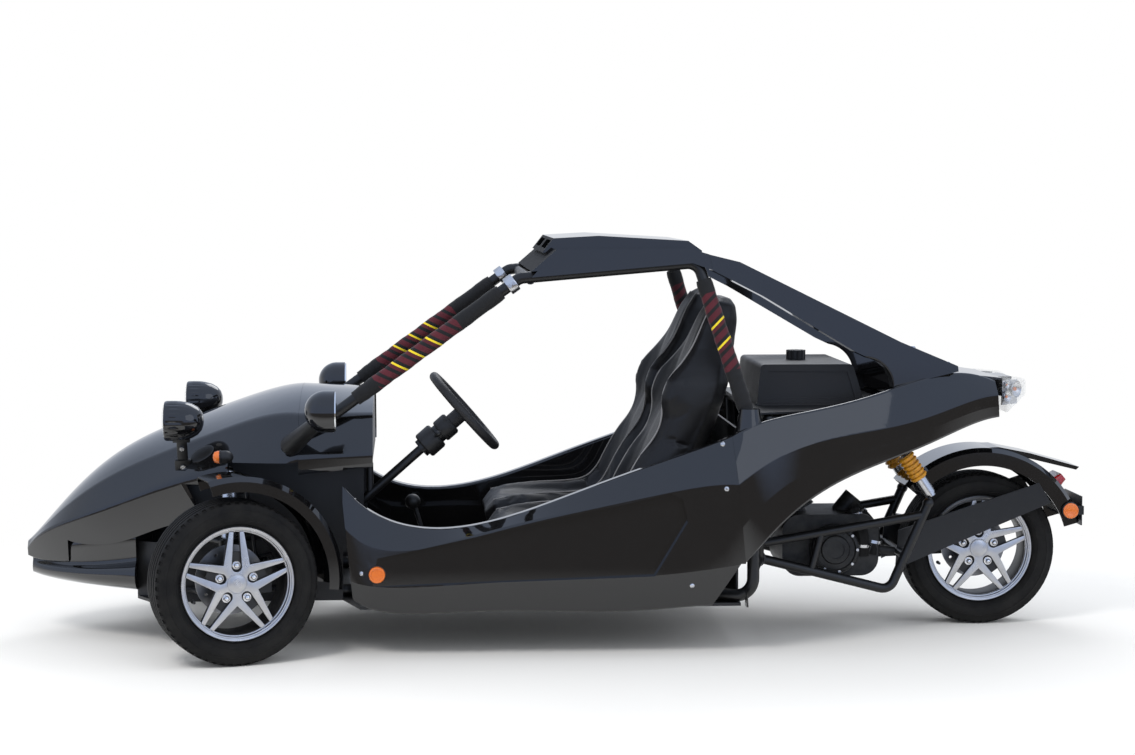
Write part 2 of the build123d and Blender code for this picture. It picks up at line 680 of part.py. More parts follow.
# Dashboard, steering column, levers and pedals
DASH_X = -662
DASH_LOW = 600
DASH_TOP = 826.2 - SHELL - CLEARANCE
column_start = STEERING_CENTRE - COLUMN_AXIS * 78
column_end = STEERING_CENTRE - COLUMN_AXIS * 830

with BuildPart() as dashboard:
    with BuildSketch(Plane(origin=(DASH_X, 0, 0), x_dir=(0, 1, 0), z_dir=(1, 0, 0))):
        with BuildLine():
            Polyline((-395, 755), (-440, DASH_LOW), (440, DASH_LOW), (395, 755))
            ThreePointArc((395, 755), (0, DASH_TOP), (-395, 755))
        make_face()
    extrude(amount=18)

with BuildPart() as steering_column:
    rod(column_start, column_end, 15)
    rod(column_start, STEERING_CENTRE - COLUMN_AXIS * 190, 31)
    hanger = STEERING_CENTRE - COLUMN_AXIS * ((STEERING_CENTRE.X - DASH_X - 9) / COLUMN_AXIS.X)
    rod(hanger, (hanger.X, hanger.Y, DASH_LOW - CLEARANCE), 12)

with BuildPart() as gear_lever:
    rod((-470, 0, TUNNEL_TOP + 12), (-508, 0, 425), 8)
    knot([(-512, 0, 432)], 22)
    with Locations((-470, 0, TUNNEL_TOP + CLEARANCE)):
        Cone(34, 12, 46, align=(Align.CENTER, Align.CENTER, Align.MIN))

PEDAL_X = -880
with BuildPart() as pedals:
    for y in (-236, -166, -96):
        with Locations(Plane(origin=(PEDAL_X, y, 262), x_dir=(-0.43, 0, 0.9), z_dir=(0.9, 0, 0.43))):
            Box(84, 54, 10)
        rod((PEDAL_X, y, 262), (PEDAL_X - 30, y, FLOOR_Z + FLOOR_THICKNESS + 10), 8)
        with Locations((PEDAL_X - 30, y, FLOOR_Z + FLOOR_THICKNESS)):
            Box(60, 40, 20, align=(Align.CENTER, Align.CENTER, Align.MIN))


# Lamps, indicators, mirrors and reflectors
def bullet(mouth_x, tip_x, radius, y, z):
    """Return a bullet-shaped solid whose flat mouth faces along the vehicle at mouth_x."""
    length = tip_x - mouth_x
    with BuildPart() as shape:
        with BuildSketch(Plane(origin=(mouth_x, y, z), x_dir=(1, 0, 0), z_dir=(0, -1, 0))):
            with BuildLine():
                Line((0, 0), (0, radius))
                Line((0, radius), (length * 0.35, radius))
                ThreePointArc((length * 0.35, radius), (length * 0.82, radius * 0.68), (length, 0))
                Line((length, 0), (0, 0))
            make_face()
        revolve(axis=Axis((mouth_x, y, z), (1, 0, 0)))
    return shape.part


LAMP_LENS = 12
lamp_bodies = [bullet(LAMP_FRONT_X, LAMP_BACK_X, LAMP_RADIUS, s * LAMP_Y, LAMP_Z) for s in (-1, 1)]
mirror_bodies = [bullet(MIRROR_X, MIRROR_X - MIRROR_LENGTH, MIRROR_RADIUS, s * MIRROR_Y, MIRROR_Z) for s in (-1, 1)]
indicator_bodies = [
    bullet(INDICATOR_X, INDICATOR_X + 40, INDICATOR_RADIUS, s * INDICATOR_Y, INDICATOR_Z) for s in (-1, 1)
]

with BuildPart() as headlamp_housings:
    add(lamp_bodies)
    for a, b in zip(both_sides(LAMP_POST[0]), both_sides(LAMP_POST[1])):
        rod(a, b, LAMP_POST_RADIUS)

with BuildPart() as headlamp_lenses:
    for y in (-LAMP_Y, LAMP_Y):
        with Locations(Plane(origin=(LAMP_FRONT_X - CLEARANCE, y, LAMP_Z), z_dir=(-1, 0, 0))):
            Cylinder(LAMP_RADIUS - 4, LAMP_LENS, align=(Align.CENTER, Align.CENTER, Align.MIN))

with BuildPart() as front_indicators:
    add(indicator_bodies)
    for side in (-1, 1):
        rod(
            (INDICATOR_STEM_X, side * INDICATOR_Y, INDICATOR_Z),
            (INDICATOR_STEM_X, side * 396, INDICATOR_Z),
            INDICATOR_STEM,
        )

with BuildPart() as mirror_housings:
    add(mirror_bodies)
    for a, b in zip(both_sides(MIRROR_STALK[0]), both_sides(MIRROR_STALK[1])):
        rod(a, b, MIRROR_STALK_RADIUS)

with BuildPart() as mirror_glasses:
    for y in (-MIRROR_Y, MIRROR_Y):
        with Locations(Plane(origin=(MIRROR_X + CLEARANCE, y, MIRROR_Z), z_dir=(1, 0, 0))):
            Cylinder(MIRROR_RADIUS - 4, 4, align=(Align.CENTER, Align.CENTER, Align.MIN))

REAR_REFLECTOR = (REAR_AXLE_X + 299, -130.3, 399)
REFLECTOR_ARM = 8

with BuildPart() as amber_lenses:
    for side in (-1, 1):
        with Locations(Plane(origin=(INDICATOR_X - CLEARANCE, side * INDICATOR_Y, INDICATOR_Z), z_dir=(-1, 0, 0))):
            Cylinder(INDICATOR_RADIUS, 26, align=(Align.CENTER, Align.CENTER, Align.MIN))
        outward = (0, side, 0)
        seat = (REFLECTOR_X, side * (REFLECTOR_Y + CLEARANCE), REFLECTOR_Z)
        with Locations(Plane(origin=seat, z_dir=outward)):
            Cylinder(REFLECTOR_RADIUS, REFLECTOR_THICKNESS + 12, align=(Align.CENTER, Align.CENTER, Align.MIN))
        rear_seat = (REAR_REFLECTOR[0], side * (-REAR_REFLECTOR[1] + CLEARANCE), REAR_REFLECTOR[2])
        with Locations(Plane(origin=rear_seat, z_dir=outward)):
            Cylinder(REFLECTOR_RADIUS, REFLECTOR_THICKNESS, align=(Align.CENTER, Align.CENTER, Align.MIN))


# Wheels, modelled with the axle along Y and the outer face towards -Y, then placed
HALF_WIDTH = TYRE_WIDTH / 2
BEAD_HALF = HALF_WIDTH - 22
FACE_Y = -BEAD_HALF - FLANGE_WIDTH + SPOKE_FACE_INSET
BARREL_RADIUS = BEAD_RADIUS - CLEARANCE
SPOKE_REACH = BARREL_RADIUS - RIM_WALL / 2
DISC_Y = FACE_Y + SPOKE_THICKNESS + HUB_BOSS_LENGTH + CLEARANCE + DISC_THICKNESS
BORE_RADIUS = STUB_RADIUS + CLEARANCE
STAR_HALF_ANGLE = pi / SPOKE_PAIRS

with BuildPart() as wheel_tyre:
    with BuildSketch(Plane.XY):
        with BuildLine():
            Polyline(
                (BEAD_RADIUS, -BEAD_HALF), (FLANGE_RADIUS + 4, -BEAD_HALF), (FLANGE_RADIUS + 14, -HALF_WIDTH + 6)
            )
            ThreePointArc(
                (FLANGE_RADIUS + 14, -HALF_WIDTH + 6), (218, -HALF_WIDTH), (TYRE_RADIUS - 18, -HALF_WIDTH + 7)
            )
            ThreePointArc(
                (TYRE_RADIUS - 18, -HALF_WIDTH + 7),
                (TYRE_RADIUS - 6, -HALF_WIDTH + 13),
                (TYRE_RADIUS - 1.5, -HALF_WIDTH + 24),
            )
            ThreePointArc(
                (TYRE_RADIUS - 1.5, -HALF_WIDTH + 24), (TYRE_RADIUS, 0), (TYRE_RADIUS - 1.5, HALF_WIDTH - 24)
            )
            ThreePointArc(
                (TYRE_RADIUS - 1.5, HALF_WIDTH - 24),
                (TYRE_RADIUS - 6, HALF_WIDTH - 13),
                (TYRE_RADIUS - 18, HALF_WIDTH - 7),
            )
            ThreePointArc(
                (TYRE_RADIUS - 18, HALF_WIDTH - 7), (218, HALF_WIDTH), (FLANGE_RADIUS + 14, HALF_WIDTH - 6)
            )
            Polyline((FLANGE_RADIUS + 14, HALF_WIDTH - 6), (FLANGE_RADIUS + 4, BEAD_HALF), (BEAD_RADIUS, BEAD_HALF))
            Line((BEAD_RADIUS, BEAD_HALF), (BEAD_RADIUS, -BEAD_HALF))
        make_face()
    revolve(axis=Axis.Y)

with BuildPart() as wheel_rim:
    with BuildSketch(Plane.XY):
        Polygon(
            (BARREL_RADIUS - RIM_WALL, -BEAD_HALF - FLANGE_WIDTH),
            (FLANGE_RADIUS, -BEAD_HALF - FLANGE_WIDTH),
            (FLANGE_RADIUS, -BEAD_HALF - CLEARANCE),
            (BARREL_RADIUS, -BEAD_HALF - CLEARANCE),
            (BARREL_RADIUS, BEAD_HALF + CLEARANCE),
            (FLANGE_RADIUS, BEAD_HALF + CLEARANCE),
            (FLANGE_RADIUS, BEAD_HALF + FLANGE_WIDTH),
            (BARREL_RADIUS - RIM_WALL, BEAD_HALF + FLANGE_WIDTH),
            align=None,
        )
    revolve(axis=Axis.Y)
    with BuildSketch(Plane(origin=(0, FACE_Y, 0), x_dir=(1, 0, 0), z_dir=(0, 1, 0))):
        with PolarLocations(0, SPOKE_PAIRS, start_angle=-90):
            Polygon(
                (0, 0),
                (STAR_NOTCH * cos(STAR_HALF_ANGLE), -STAR_NOTCH * sin(STAR_HALF_ANGLE)),
                (SPOKE_REACH, -STAR_TIP_HALF),
                (SPOKE_REACH, STAR_TIP_HALF),
                (STAR_NOTCH * cos(STAR_HALF_ANGLE), STAR_NOTCH * sin(STAR_HALF_ANGLE)),
                align=None,
            )
        with PolarLocations(0, SPOKE_PAIRS, start_angle=-90):
            with Locations((LUG_CIRCLE / 2 - 4, 0)):
                Circle(LUG_POCKET_RADIUS, mode=Mode.SUBTRACT)
            Polygon(
                (LUG_CIRCLE / 2 - 4, -LUG_POCKET_RADIUS),
                (SPOKE_REACH + 8, -STAR_SLOT_HALF),
                (SPOKE_REACH + 8, STAR_SLOT_HALF),
                (LUG_CIRCLE / 2 - 4, LUG_POCKET_RADIUS),
                align=None,
                mode=Mode.SUBTRACT,
            )
        Circle(BORE_RADIUS, mode=Mode.SUBTRACT)
    extrude(amount=SPOKE_THICKNESS)
    with BuildSketch(Plane(origin=(0, FACE_Y + LUG_POCKET_DEPTH, 0), x_dir=(1, 0, 0), z_dir=(0, 1, 0))):
        with PolarLocations(0, SPOKE_PAIRS, start_angle=-90):
            Polygon(
                (LUG_CIRCLE / 2 - LUG_POCKET_RADIUS - 8, -LUG_POCKET_RADIUS),
                (LUG_POCKET_REACH, -LUG_POCKET_RADIUS),
                (LUG_POCKET_REACH, LUG_POCKET_RADIUS),
                (LUG_CIRCLE / 2 - LUG_POCKET_RADIUS - 8, LUG_POCKET_RADIUS),
                align=None,
            )
    extrude(amount=SPOKE_THICKNESS - LUG_POCKET_DEPTH)
    with BuildSketch(Plane(origin=(0, FACE_Y + LUG_POCKET_DEPTH + 2, 0), x_dir=(1, 0, 0), z_dir=(0, 1, 0))):
        with PolarLocations(LUG_CIRCLE / 2, SPOKE_PAIRS, start_angle=-90):
            RegularPolygon(LUG_NUT_RADIUS, 6)
    extrude(amount=-LUG_POCKET_DEPTH - 2)
    with BuildSketch(Plane(origin=(0, FACE_Y + SPOKE_THICKNESS, 0), x_dir=(1, 0, 0), z_dir=(0, 1, 0))):
        Circle(HUB_BOSS_RADIUS)
        Circle(BORE_RADIUS, mode=Mode.SUBTRACT)
    extrude(amount=HUB_BOSS_LENGTH)
    with BuildSketch(Plane(origin=(0, FACE_Y - 4, 0), x_dir=(1, 0, 0), z_dir=(0, 1, 0))):
        Circle(LUG_CIRCLE / 2 - LUG_POCKET_RADIUS - 8)
    extrude(amount=10)

with BuildPart() as wheel_disc:
    with BuildSketch(Plane(origin=(0, DISC_Y, 0), x_dir=(1, 0, 0), z_dir=(0, 1, 0))):
        Circle(DISC_RADIUS)
        Circle(BORE_RADIUS + 5, mode=Mode.SUBTRACT)
        with PolarLocations(DISC_RADIUS - 22, 12):
            Circle(5, mode=Mode.SUBTRACT)
    extrude(amount=-DISC_THICKNESS)


def corner(piece, side):
    """Place a left-hand front corner piece, mirror it for the right, and turn it to the parked lock."""
    shape = piece if side < 0 else mirror(piece, about=Plane.XZ)
    return shape.rotate(Axis((FRONT_AXLE_X, side * KINGPIN_Y, 0), (0, 0, 1)), PARKED_LOCK)


FRONT_WHEEL = Pos(FRONT_AXLE_X, -TRACK_HALF, AXLE_Z)
REAR_WHEEL = Pos(REAR_AXLE_X, 0, AXLE_Z)


# Knuckle with stub axle, caliper, steering arm and mudguard stays
UPRIGHT_RADIUS = 22
UPRIGHT_LOW = AXLE_Z - 58
UPRIGHT_HIGH = AXLE_Z + 98
EYE_RADIUS = 24
EYE_HEIGHT = 20
EYE_GAP = 1.5
GUARD_RADIUS = 340
GUARD_THICKNESS = 4
GUARD_HALF = 88
GUARD_SKIRT = 48
GUARD_FRONT = 16
GUARD_REAR = 96
STAY_RADIUS = 6
STAY_Y = -TRACK_HALF + GUARD_HALF + STAY_RADIUS + CLEARANCE
CALIPER = (56, 46, 92)
STUB_END = -TRACK_HALF + FACE_Y + 8
disc_y = -TRACK_HALF + DISC_Y - DISC_THICKNESS / 2


def around_axle(angle, radius):
    """Return X and Z of a point above the front axle, angle in degrees towards the rear."""
    return FRONT_AXLE_X + radius * sin(radians(angle)), AXLE_Z + radius * cos(radians(angle))


with BuildPart() as knuckle:
    rod((FRONT_AXLE_X, -KINGPIN_Y, UPRIGHT_LOW), (FRONT_AXLE_X, -KINGPIN_Y, UPRIGHT_HIGH), UPRIGHT_RADIUS)
    rod(
        (FRONT_AXLE_X, -KINGPIN_Y, UPRIGHT_LOW - EYE_HEIGHT - 6),
        (FRONT_AXLE_X, -KINGPIN_Y, UPRIGHT_HIGH + EYE_HEIGHT + 6),
        KINGPIN_RADIUS,
    )
    rod((FRONT_AXLE_X, -KINGPIN_Y, AXLE_Z), (FRONT_AXLE_X, STUB_END, AXLE_Z), STUB_RADIUS)
    arm_end = (FRONT_AXLE_X + STEERING_ARM, -KINGPIN_Y + STEERING_ARM_INSET, AXLE_Z + 32)
    rod((FRONT_AXLE_X, -KINGPIN_Y, AXLE_Z + 32), arm_end, 11)
    with Locations(arm_end):
        Cylinder(16, 22)
    caliper_arm = (FRONT_AXLE_X + 78, disc_y + 27, AXLE_Z)
    rod((FRONT_AXLE_X, -KINGPIN_Y, AXLE_Z), caliper_arm, 14)
    with Locations((FRONT_AXLE_X + 98, disc_y, AXLE_Z)):
        Box(*CALIPER)
        Box(CALIPER[0] + 2, DISC_THICKNESS + 10, CALIPER[2] + 2, mode=Mode.SUBTRACT)
    with Locations((FRONT_AXLE_X + 98 + CALIPER[0] / 2, disc_y, AXLE_Z)):
        Box(10, CALIPER[1], CALIPER[2])
    hub_stay = (FRONT_AXLE_X + 100, STAY_Y, AXLE_Z + 60)
    rod((FRONT_AXLE_X, -KINGPIN_Y, AXLE_Z + 60), hub_stay, 10)
    knot([hub_stay], 10)
    for angle in (12, 74):
        tip_x, tip_z = around_axle(angle, GUARD_RADIUS - GUARD_SKIRT / 2)
        rod(hub_stay, (tip_x, STAY_Y, tip_z), STAY_RADIUS)

with BuildPart() as mudguard:
    guard_plane = Plane(origin=(FRONT_AXLE_X, -TRACK_HALF, AXLE_Z), x_dir=(0, 1, 0), z_dir=(1, 0, 0))
    with BuildSketch(guard_plane):
        with BuildLine():
            inner_radius = GUARD_RADIUS - GUARD_SKIRT
            Polyline(
                (-GUARD_HALF, inner_radius),
                (-GUARD_HALF, GUARD_RADIUS - 16),
                (-GUARD_HALF + 16, GUARD_RADIUS),
                (GUARD_HALF - 16, GUARD_RADIUS),
                (GUARD_HALF, GUARD_RADIUS - 16),
                (GUARD_HALF, inner_radius),
                (GUARD_HALF - GUARD_THICKNESS, inner_radius),
                (GUARD_HALF - GUARD_THICKNESS, GUARD_RADIUS - 18),
                (GUARD_HALF - 18, GUARD_RADIUS - GUARD_THICKNESS),
                (-GUARD_HALF + 18, GUARD_RADIUS - GUARD_THICKNESS),
                (-GUARD_HALF + GUARD_THICKNESS, GUARD_RADIUS - 18),
                (-GUARD_HALF + GUARD_THICKNESS, inner_radius),
                close=True,
            )
        make_face()
    revolve(axis=Axis((FRONT_AXLE_X, -TRACK_HALF, AXLE_Z), (0, 1, 0)), revolution_arc=GUARD_REAR + GUARD_FRONT)

front_guard = mudguard.part.rotate(Axis((FRONT_AXLE_X, -TRACK_HALF, AXLE_Z), (0, 1, 0)), -GUARD_FRONT)


# Front suspension: two wishbones and a shock absorber on each side
ARM_RADIUS = 9
ARM_SPREAD = 130
ARM_BRACE = 80
LOWER_EYE_Z = UPRIGHT_LOW - EYE_GAP - EYE_HEIGHT / 2
UPPER_EYE_Z = UPRIGHT_HIGH + EYE_GAP + EYE_HEIGHT / 2
FRONT_SHOCK_LOW = (FRONT_AXLE_X, -KINGPIN_Y + ARM_BRACE, LOWER_EYE_Z + ARM_RADIUS * 0.7 + 4)
FRONT_SHOCK_TOP = (FRONT_AXLE_X, -WALL_Y - 32, AXLE_Z + 318)

with BuildPart() as front_wishbones:
    for eye_z in (LOWER_EYE_Z, UPPER_EYE_Z):
        for side in (-1, 1):
            eye = (FRONT_AXLE_X, side * KINGPIN_Y, eye_z)
            with Locations(eye):
                Cylinder(EYE_RADIUS, EYE_HEIGHT)
            for spread in (-ARM_SPREAD, ARM_SPREAD):
                rod(eye, (FRONT_AXLE_X + spread, side * (WALL_Y + CLEARANCE + ARM_RADIUS), eye_z), ARM_RADIUS)
                rod(
                    (FRONT_AXLE_X + spread - 24, side * (WALL_Y + CLEARANCE + ARM_RADIUS), eye_z),
                    (FRONT_AXLE_X + spread + 24, side * (WALL_Y + CLEARANCE + ARM_RADIUS), eye_z),
                    ARM_RADIUS,
                )
            rod(
                (FRONT_AXLE_X - 54, side * (KINGPIN_Y - ARM_BRACE), eye_z),
                (FRONT_AXLE_X + 54, side * (KINGPIN_Y - ARM_BRACE), eye_z),
                ARM_RADIUS * 0.7,
            )
            rod((*eye[:2], eye_z - EYE_HEIGHT), (*eye[:2], eye_z + EYE_HEIGHT), KINGPIN_RADIUS + CLEARANCE, Mode.SUBTRACT)

with BuildPart() as front_shocks:
    for side in (-1, 1):
        low = Vector(FRONT_SHOCK_LOW[0], -side * FRONT_SHOCK_LOW[1], FRONT_SHOCK_LOW[2])
        high = Vector(FRONT_SHOCK_TOP[0], -side * FRONT_SHOCK_TOP[1], FRONT_SHOCK_TOP[2])
        rod(low, high, 16)
        rod(along(low, high, 0.35), along(low, high, 0.92), 26)
        rod(high, (high.X, side * (WALL_Y + CLEARANCE), high.Z), 14)
        knot([high], 16)

with BuildPart() as steering_rack:
    rack_rest = STEERING_ARM * sin(radians(PARKED_LOCK))
    rod((RACK_X, -KINGPIN_Y + 50 + rack_rest, TIE_ROD_Z), (RACK_X, KINGPIN_Y - 50 + rack_rest, TIE_ROD_Z), TIE_ROD_RADIUS)
    for side in (-1, 1):
        turned = Vector(STEERING_ARM, -side * STEERING_ARM_INSET, 0).rotate(Axis.Z, PARKED_LOCK)
        eye = (FRONT_AXLE_X + turned.X, side * KINGPIN_Y + turned.Y, TIE_ROD_Z)
        rod((RACK_X, side * (KINGPIN_Y - 50) + rack_rest, TIE_ROD_Z), eye, TIE_ROD_RADIUS)
        knot([(RACK_X, side * (KINGPIN_Y - 50) + rack_rest, TIE_ROD_Z)], TIE_ROD_RADIUS)
        with Locations(eye):
            Cylinder(15, 18)

with BuildPart() as rack_housing:
    rod((RACK_X, -210, TIE_ROD_Z), (RACK_X, 210, TIE_ROD_Z), 24)
    rod((RACK_X, -WALL_Y, TIE_ROD_Z), (RACK_X, WALL_Y, TIE_ROD_Z), TIE_ROD_RADIUS + CLEARANCE, Mode.SUBTRACT)
    for y in (-170, 170):
        with Locations((RACK_X, y, FLOOR_Z + FLOOR_THICKNESS)):
            Box(40, 40, TIE_ROD_Z - 20 - FLOOR_Z - FLOOR_THICKNESS, align=(Align.CENTER, Align.CENTER, Align.MIN))

with BuildPart() as steering_wheel:
    wheel_plane = Plane(origin=STEERING_CENTRE, z_dir=COLUMN_AXIS, x_dir=(0, 1, 0))
    with Locations(wheel_plane):
        Torus(STEERING_WHEEL_RADIUS, STEERING_GRIP_RADIUS)
    with BuildSketch(wheel_plane.offset(-8)):
        Circle(38)
        for angle in (0, 180, 270):
            with Locations(Location((0, 0, 0), (0, 0, angle))):
                with Locations((STEERING_WHEEL_RADIUS / 2, 0)):
                    Rectangle(STEERING_WHEEL_RADIUS, 26)
    extrude(amount=8)
    rod(STEERING_CENTRE - COLUMN_AXIS * 77, STEERING_CENTRE - COLUMN_AXIS * 4, 26)


# Rear end: swing frame with the axle arm on the right, engine, shocks, mudguard and lamp
POST_LOW = (REAR_AXLE_X - 343, -220, AXLE_Z - 117)
POST_TOP = (REAR_AXLE_X - 213, -220, AXLE_Z + 178)
post_slope = (POST_TOP[0] - POST_LOW[0]) / (POST_TOP[2] - POST_LOW[2])
TOP_TUBE_Z = AXLE_Z + 138
ARM_THICKNESS = 46
ARM_Y = 192
AXLE_FLANGE = 44
SWING_BEND = 40
PIVOT_BOSS = 30


def on_post(z):
    """Return the length station of the swing frame's rear post at a height."""
    return POST_LOW[0] + post_slope * (z - POST_LOW[2])


cross_tube = (on_post(AXLE_Z), -220, AXLE_Z)
pivot_high = (SWING_PIVOT[0], SWING_PIVOT[1], SWING_PIVOT[2] + 44)

with BuildPart() as swing_frame:
    for flip in (1, -1):
        raised, pivot, low, top = [(x, flip * y, z) for x, y, z in (pivot_high, SWING_PIVOT, POST_LOW, POST_TOP)]
        upper = (on_post(TOP_TUBE_Z), flip * POST_LOW[1], TOP_TUBE_Z)
        bent_bar([raised, pivot, low, top], SWING_TUBE, SWING_BEND)
        rod(raised, upper, SWING_TUBE - 1)
        rod(along(raised, upper, 0.39), along(pivot, low, 0.41), SWING_TUBE - 3)
        knot([raised, top], SWING_TUBE)
        rod((pivot[0], pivot[1] - 26, pivot[2]), (pivot[0], pivot[1] + 26, pivot[2]), PIVOT_BOSS)
    for point in (cross_tube, pivot_high):
        rod(*both_sides(point), SWING_TUBE - 2)
    with BuildSketch(Plane.XZ.offset(-ARM_Y - ARM_THICKNESS / 2)):
        with BuildLine():
            Polyline((on_post(350), 352), (REAR_AXLE_X + 10, AXLE_Z + 48))
            ThreePointArc(
                (REAR_AXLE_X + 10, AXLE_Z + 48), (REAR_AXLE_X + 58, AXLE_Z), (REAR_AXLE_X + 10, AXLE_Z - 48)
            )
            Polyline((REAR_AXLE_X + 10, AXLE_Z - 48), (on_post(200), 200), (on_post(350), 352))
        make_face()
    extrude(amount=ARM_THICKNESS)
    rod((REAR_AXLE_X, ARM_Y, AXLE_Z), (REAR_AXLE_X, FACE_Y + 8, AXLE_Z), STUB_RADIUS)
    rod(
        (REAR_AXLE_X, ARM_Y, AXLE_Z),
        (REAR_AXLE_X, DISC_Y + 6, AXLE_Z),
        AXLE_FLANGE,
    )
    rod(*both_sides(pivot_mount), SHELF_RAIL_RADIUS + CLEARANCE, Mode.SUBTRACT)

ENGINE_CASE = (330, 300, 210)
ENGINE_CENTRE = (905, 0, 290)
FIN_COUNT = 7

with BuildPart() as engine:
    with Locations(ENGINE_CENTRE):
        Box(*ENGINE_CASE)
    fillet(engine.edges().filter_by(Axis.Y), 60)
    for side in (-1, 1):
        with Locations(Plane(origin=(915, side * 150, 280), z_dir=(0, side, 0))):
            Cylinder(84, 34, align=(Align.CENTER, Align.CENTER, Align.MIN))
            Cylinder(40, 44, align=(Align.CENTER, Align.CENTER, Align.MIN))
    barrel = Plane(origin=(800, 0, 350), z_dir=(-0.5, 0, 0.866))
    with Locations(barrel):
        Cylinder(62, 150, align=(Align.CENTER, Align.CENTER, Align.MIN))
    for index in range(FIN_COUNT):
        with Locations(barrel.offset(44 + index * 15)):
            Box(176, 176, 6)
    rod((960, 0, 380), (1010, 0, 440), 34)
    for y in (-110, 110):
        rod((940, y, 290), (on_post(AXLE_Z) - SWING_TUBE + 2 - CLEARANCE, y, AXLE_Z), 14)

with BuildPart() as exhaust:
    rod((1000, 320, 235), (1330, 320, 262), 52)
    rod((1325, 320, 261), (1372, 320, 265), 22)
    rod((1330, 320, 262), (1374, 320, 265.5), 18, Mode.SUBTRACT)
    pipe = [(1010, 320, 236), (900, 320, 228), (760, 290, 279), (760, ENGINE_CASE[1] / 2 + CLEARANCE, 279)]
    bent_bar(pipe, 17, SWING_BEND)

SPRING_RADIUS = 31
SPRING_WIRE = 5
SPRING_TURNS = 6
SPRING_SHARE = 0.56

with BuildPart() as shock_bodies:
    for flip in (1, -1):
        top = Vector(SHOCK_TOP[0], flip * SHOCK_TOP[1], SHOCK_TOP[2])
        low = Vector(SHOCK_LOW[0], flip * SHOCK_LOW[1], SHOCK_LOW[2] + 10.8)
        rod(top, low, SPRING_RADIUS - 3 * SPRING_WIRE - CLEARANCE)
        rod(along(top, low, SPRING_SHARE + 0.02), along(top, low, 0.94), 20)

with BuildPart() as shock_springs:
    for flip in (1, -1):
        top = Vector(SHOCK_TOP[0], flip * SHOCK_TOP[1], SHOCK_TOP[2])
        low = Vector(SHOCK_LOW[0], flip * SHOCK_LOW[1], SHOCK_LOW[2] + 10.8)
        spring_length = (low - top).length * SPRING_SHARE
        with BuildSketch(Plane(origin=top, x_dir=(0, 1, 0), z_dir=Vector(0, 1, 0).cross(low - top))) as profile:
            with Locations((SPRING_RADIUS - 2 * SPRING_WIRE, spring_length / 2)):
                Rectangle(2 * SPRING_WIRE, spring_length)
            with Locations((SPRING_RADIUS - SPRING_WIRE, spring_length / 2)):
                with GridLocations(1, spring_length / SPRING_TURNS, 1, SPRING_TURNS):
                    Circle(SPRING_WIRE)
        revolve(profile.sketch, axis=Axis(top, low - top))

REAR_GUARD_RADIUS = 352
REAR_GUARD_HALF = 122
REAR_GUARD_SKIRT = 60
REAR_GUARD_FRONT = 50
REAR_GUARD_REAR = 74
CARRIER_Y = REAR_GUARD_HALF + CLEARANCE
CARRIER_THICKNESS = 6

with BuildPart() as rear_guard_arc:
    rear_plane = Plane(origin=(REAR_AXLE_X, 0, AXLE_Z), x_dir=(0, 1, 0), z_dir=(1, 0, 0))
    with BuildSketch(rear_plane):
        with BuildLine():
            inner_radius = REAR_GUARD_RADIUS - REAR_GUARD_SKIRT
            Polyline(
                (-REAR_GUARD_HALF, inner_radius),
                (-REAR_GUARD_HALF, REAR_GUARD_RADIUS - 14),
                (-REAR_GUARD_HALF + 22, REAR_GUARD_RADIUS),
                (REAR_GUARD_HALF - 22, REAR_GUARD_RADIUS),
                (REAR_GUARD_HALF, REAR_GUARD_RADIUS - 14),
                (REAR_GUARD_HALF, inner_radius),
                (REAR_GUARD_HALF - GUARD_THICKNESS, inner_radius),
                (REAR_GUARD_HALF - GUARD_THICKNESS, REAR_GUARD_RADIUS - 17),
                (REAR_GUARD_HALF - 24, REAR_GUARD_RADIUS - GUARD_THICKNESS),
                (-REAR_GUARD_HALF + 24, REAR_GUARD_RADIUS - GUARD_THICKNESS),
                (-REAR_GUARD_HALF + GUARD_THICKNESS, REAR_GUARD_RADIUS - 17),
                (-REAR_GUARD_HALF + GUARD_THICKNESS, inner_radius),
                close=True,
            )
        make_face()
    revolve(
        axis=Axis((REAR_AXLE_X, 0, AXLE_Z), (0, 1, 0)), revolution_arc=REAR_GUARD_FRONT + REAR_GUARD_REAR
    )

rear_guard_turned = rear_guard_arc.part.rotate(Axis((REAR_AXLE_X, 0, AXLE_Z), (0, 1, 0)), -REAR_GUARD_FRONT)
BEAK = [(-20, 350), (60, 352), (170, 330), (341, 282), (330, 272), (165, 312), (60, 338), (-20, 340)]

with BuildPart() as rear_mudguard:
    add(rear_guard_turned)
    with BuildSketch(Plane.XZ.offset(-REAR_GUARD_HALF + 40)):
        Polygon(*[(REAR_AXLE_X + x, AXLE_Z + z) for x, z in BEAK], align=None)
    extrude(amount=2 * (REAR_GUARD_HALF - 40))

CARRIER = [
    (on_post(AXLE_Z) - 14, AXLE_Z - 60),
    (on_post(AXLE_Z) - 4, AXLE_Z + 74),
    (REAR_AXLE_X + 190, AXLE_Z + 233),
    (REAR_AXLE_X + 232, AXLE_Z + 164),
]

with BuildPart() as guard_carriers:
    for side in (-1, 1):
        with BuildSketch(Plane(origin=(0, side * CARRIER_Y, 0), x_dir=(1, 0, 0), z_dir=(0, -1, 0))):
            Polygon(*CARRIER, align=None)
        extrude(amount=-side * CARRIER_THICKNESS)
    rod(*both_sides(cross_tube), SWING_TUBE - 2 + CLEARANCE, Mode.SUBTRACT)

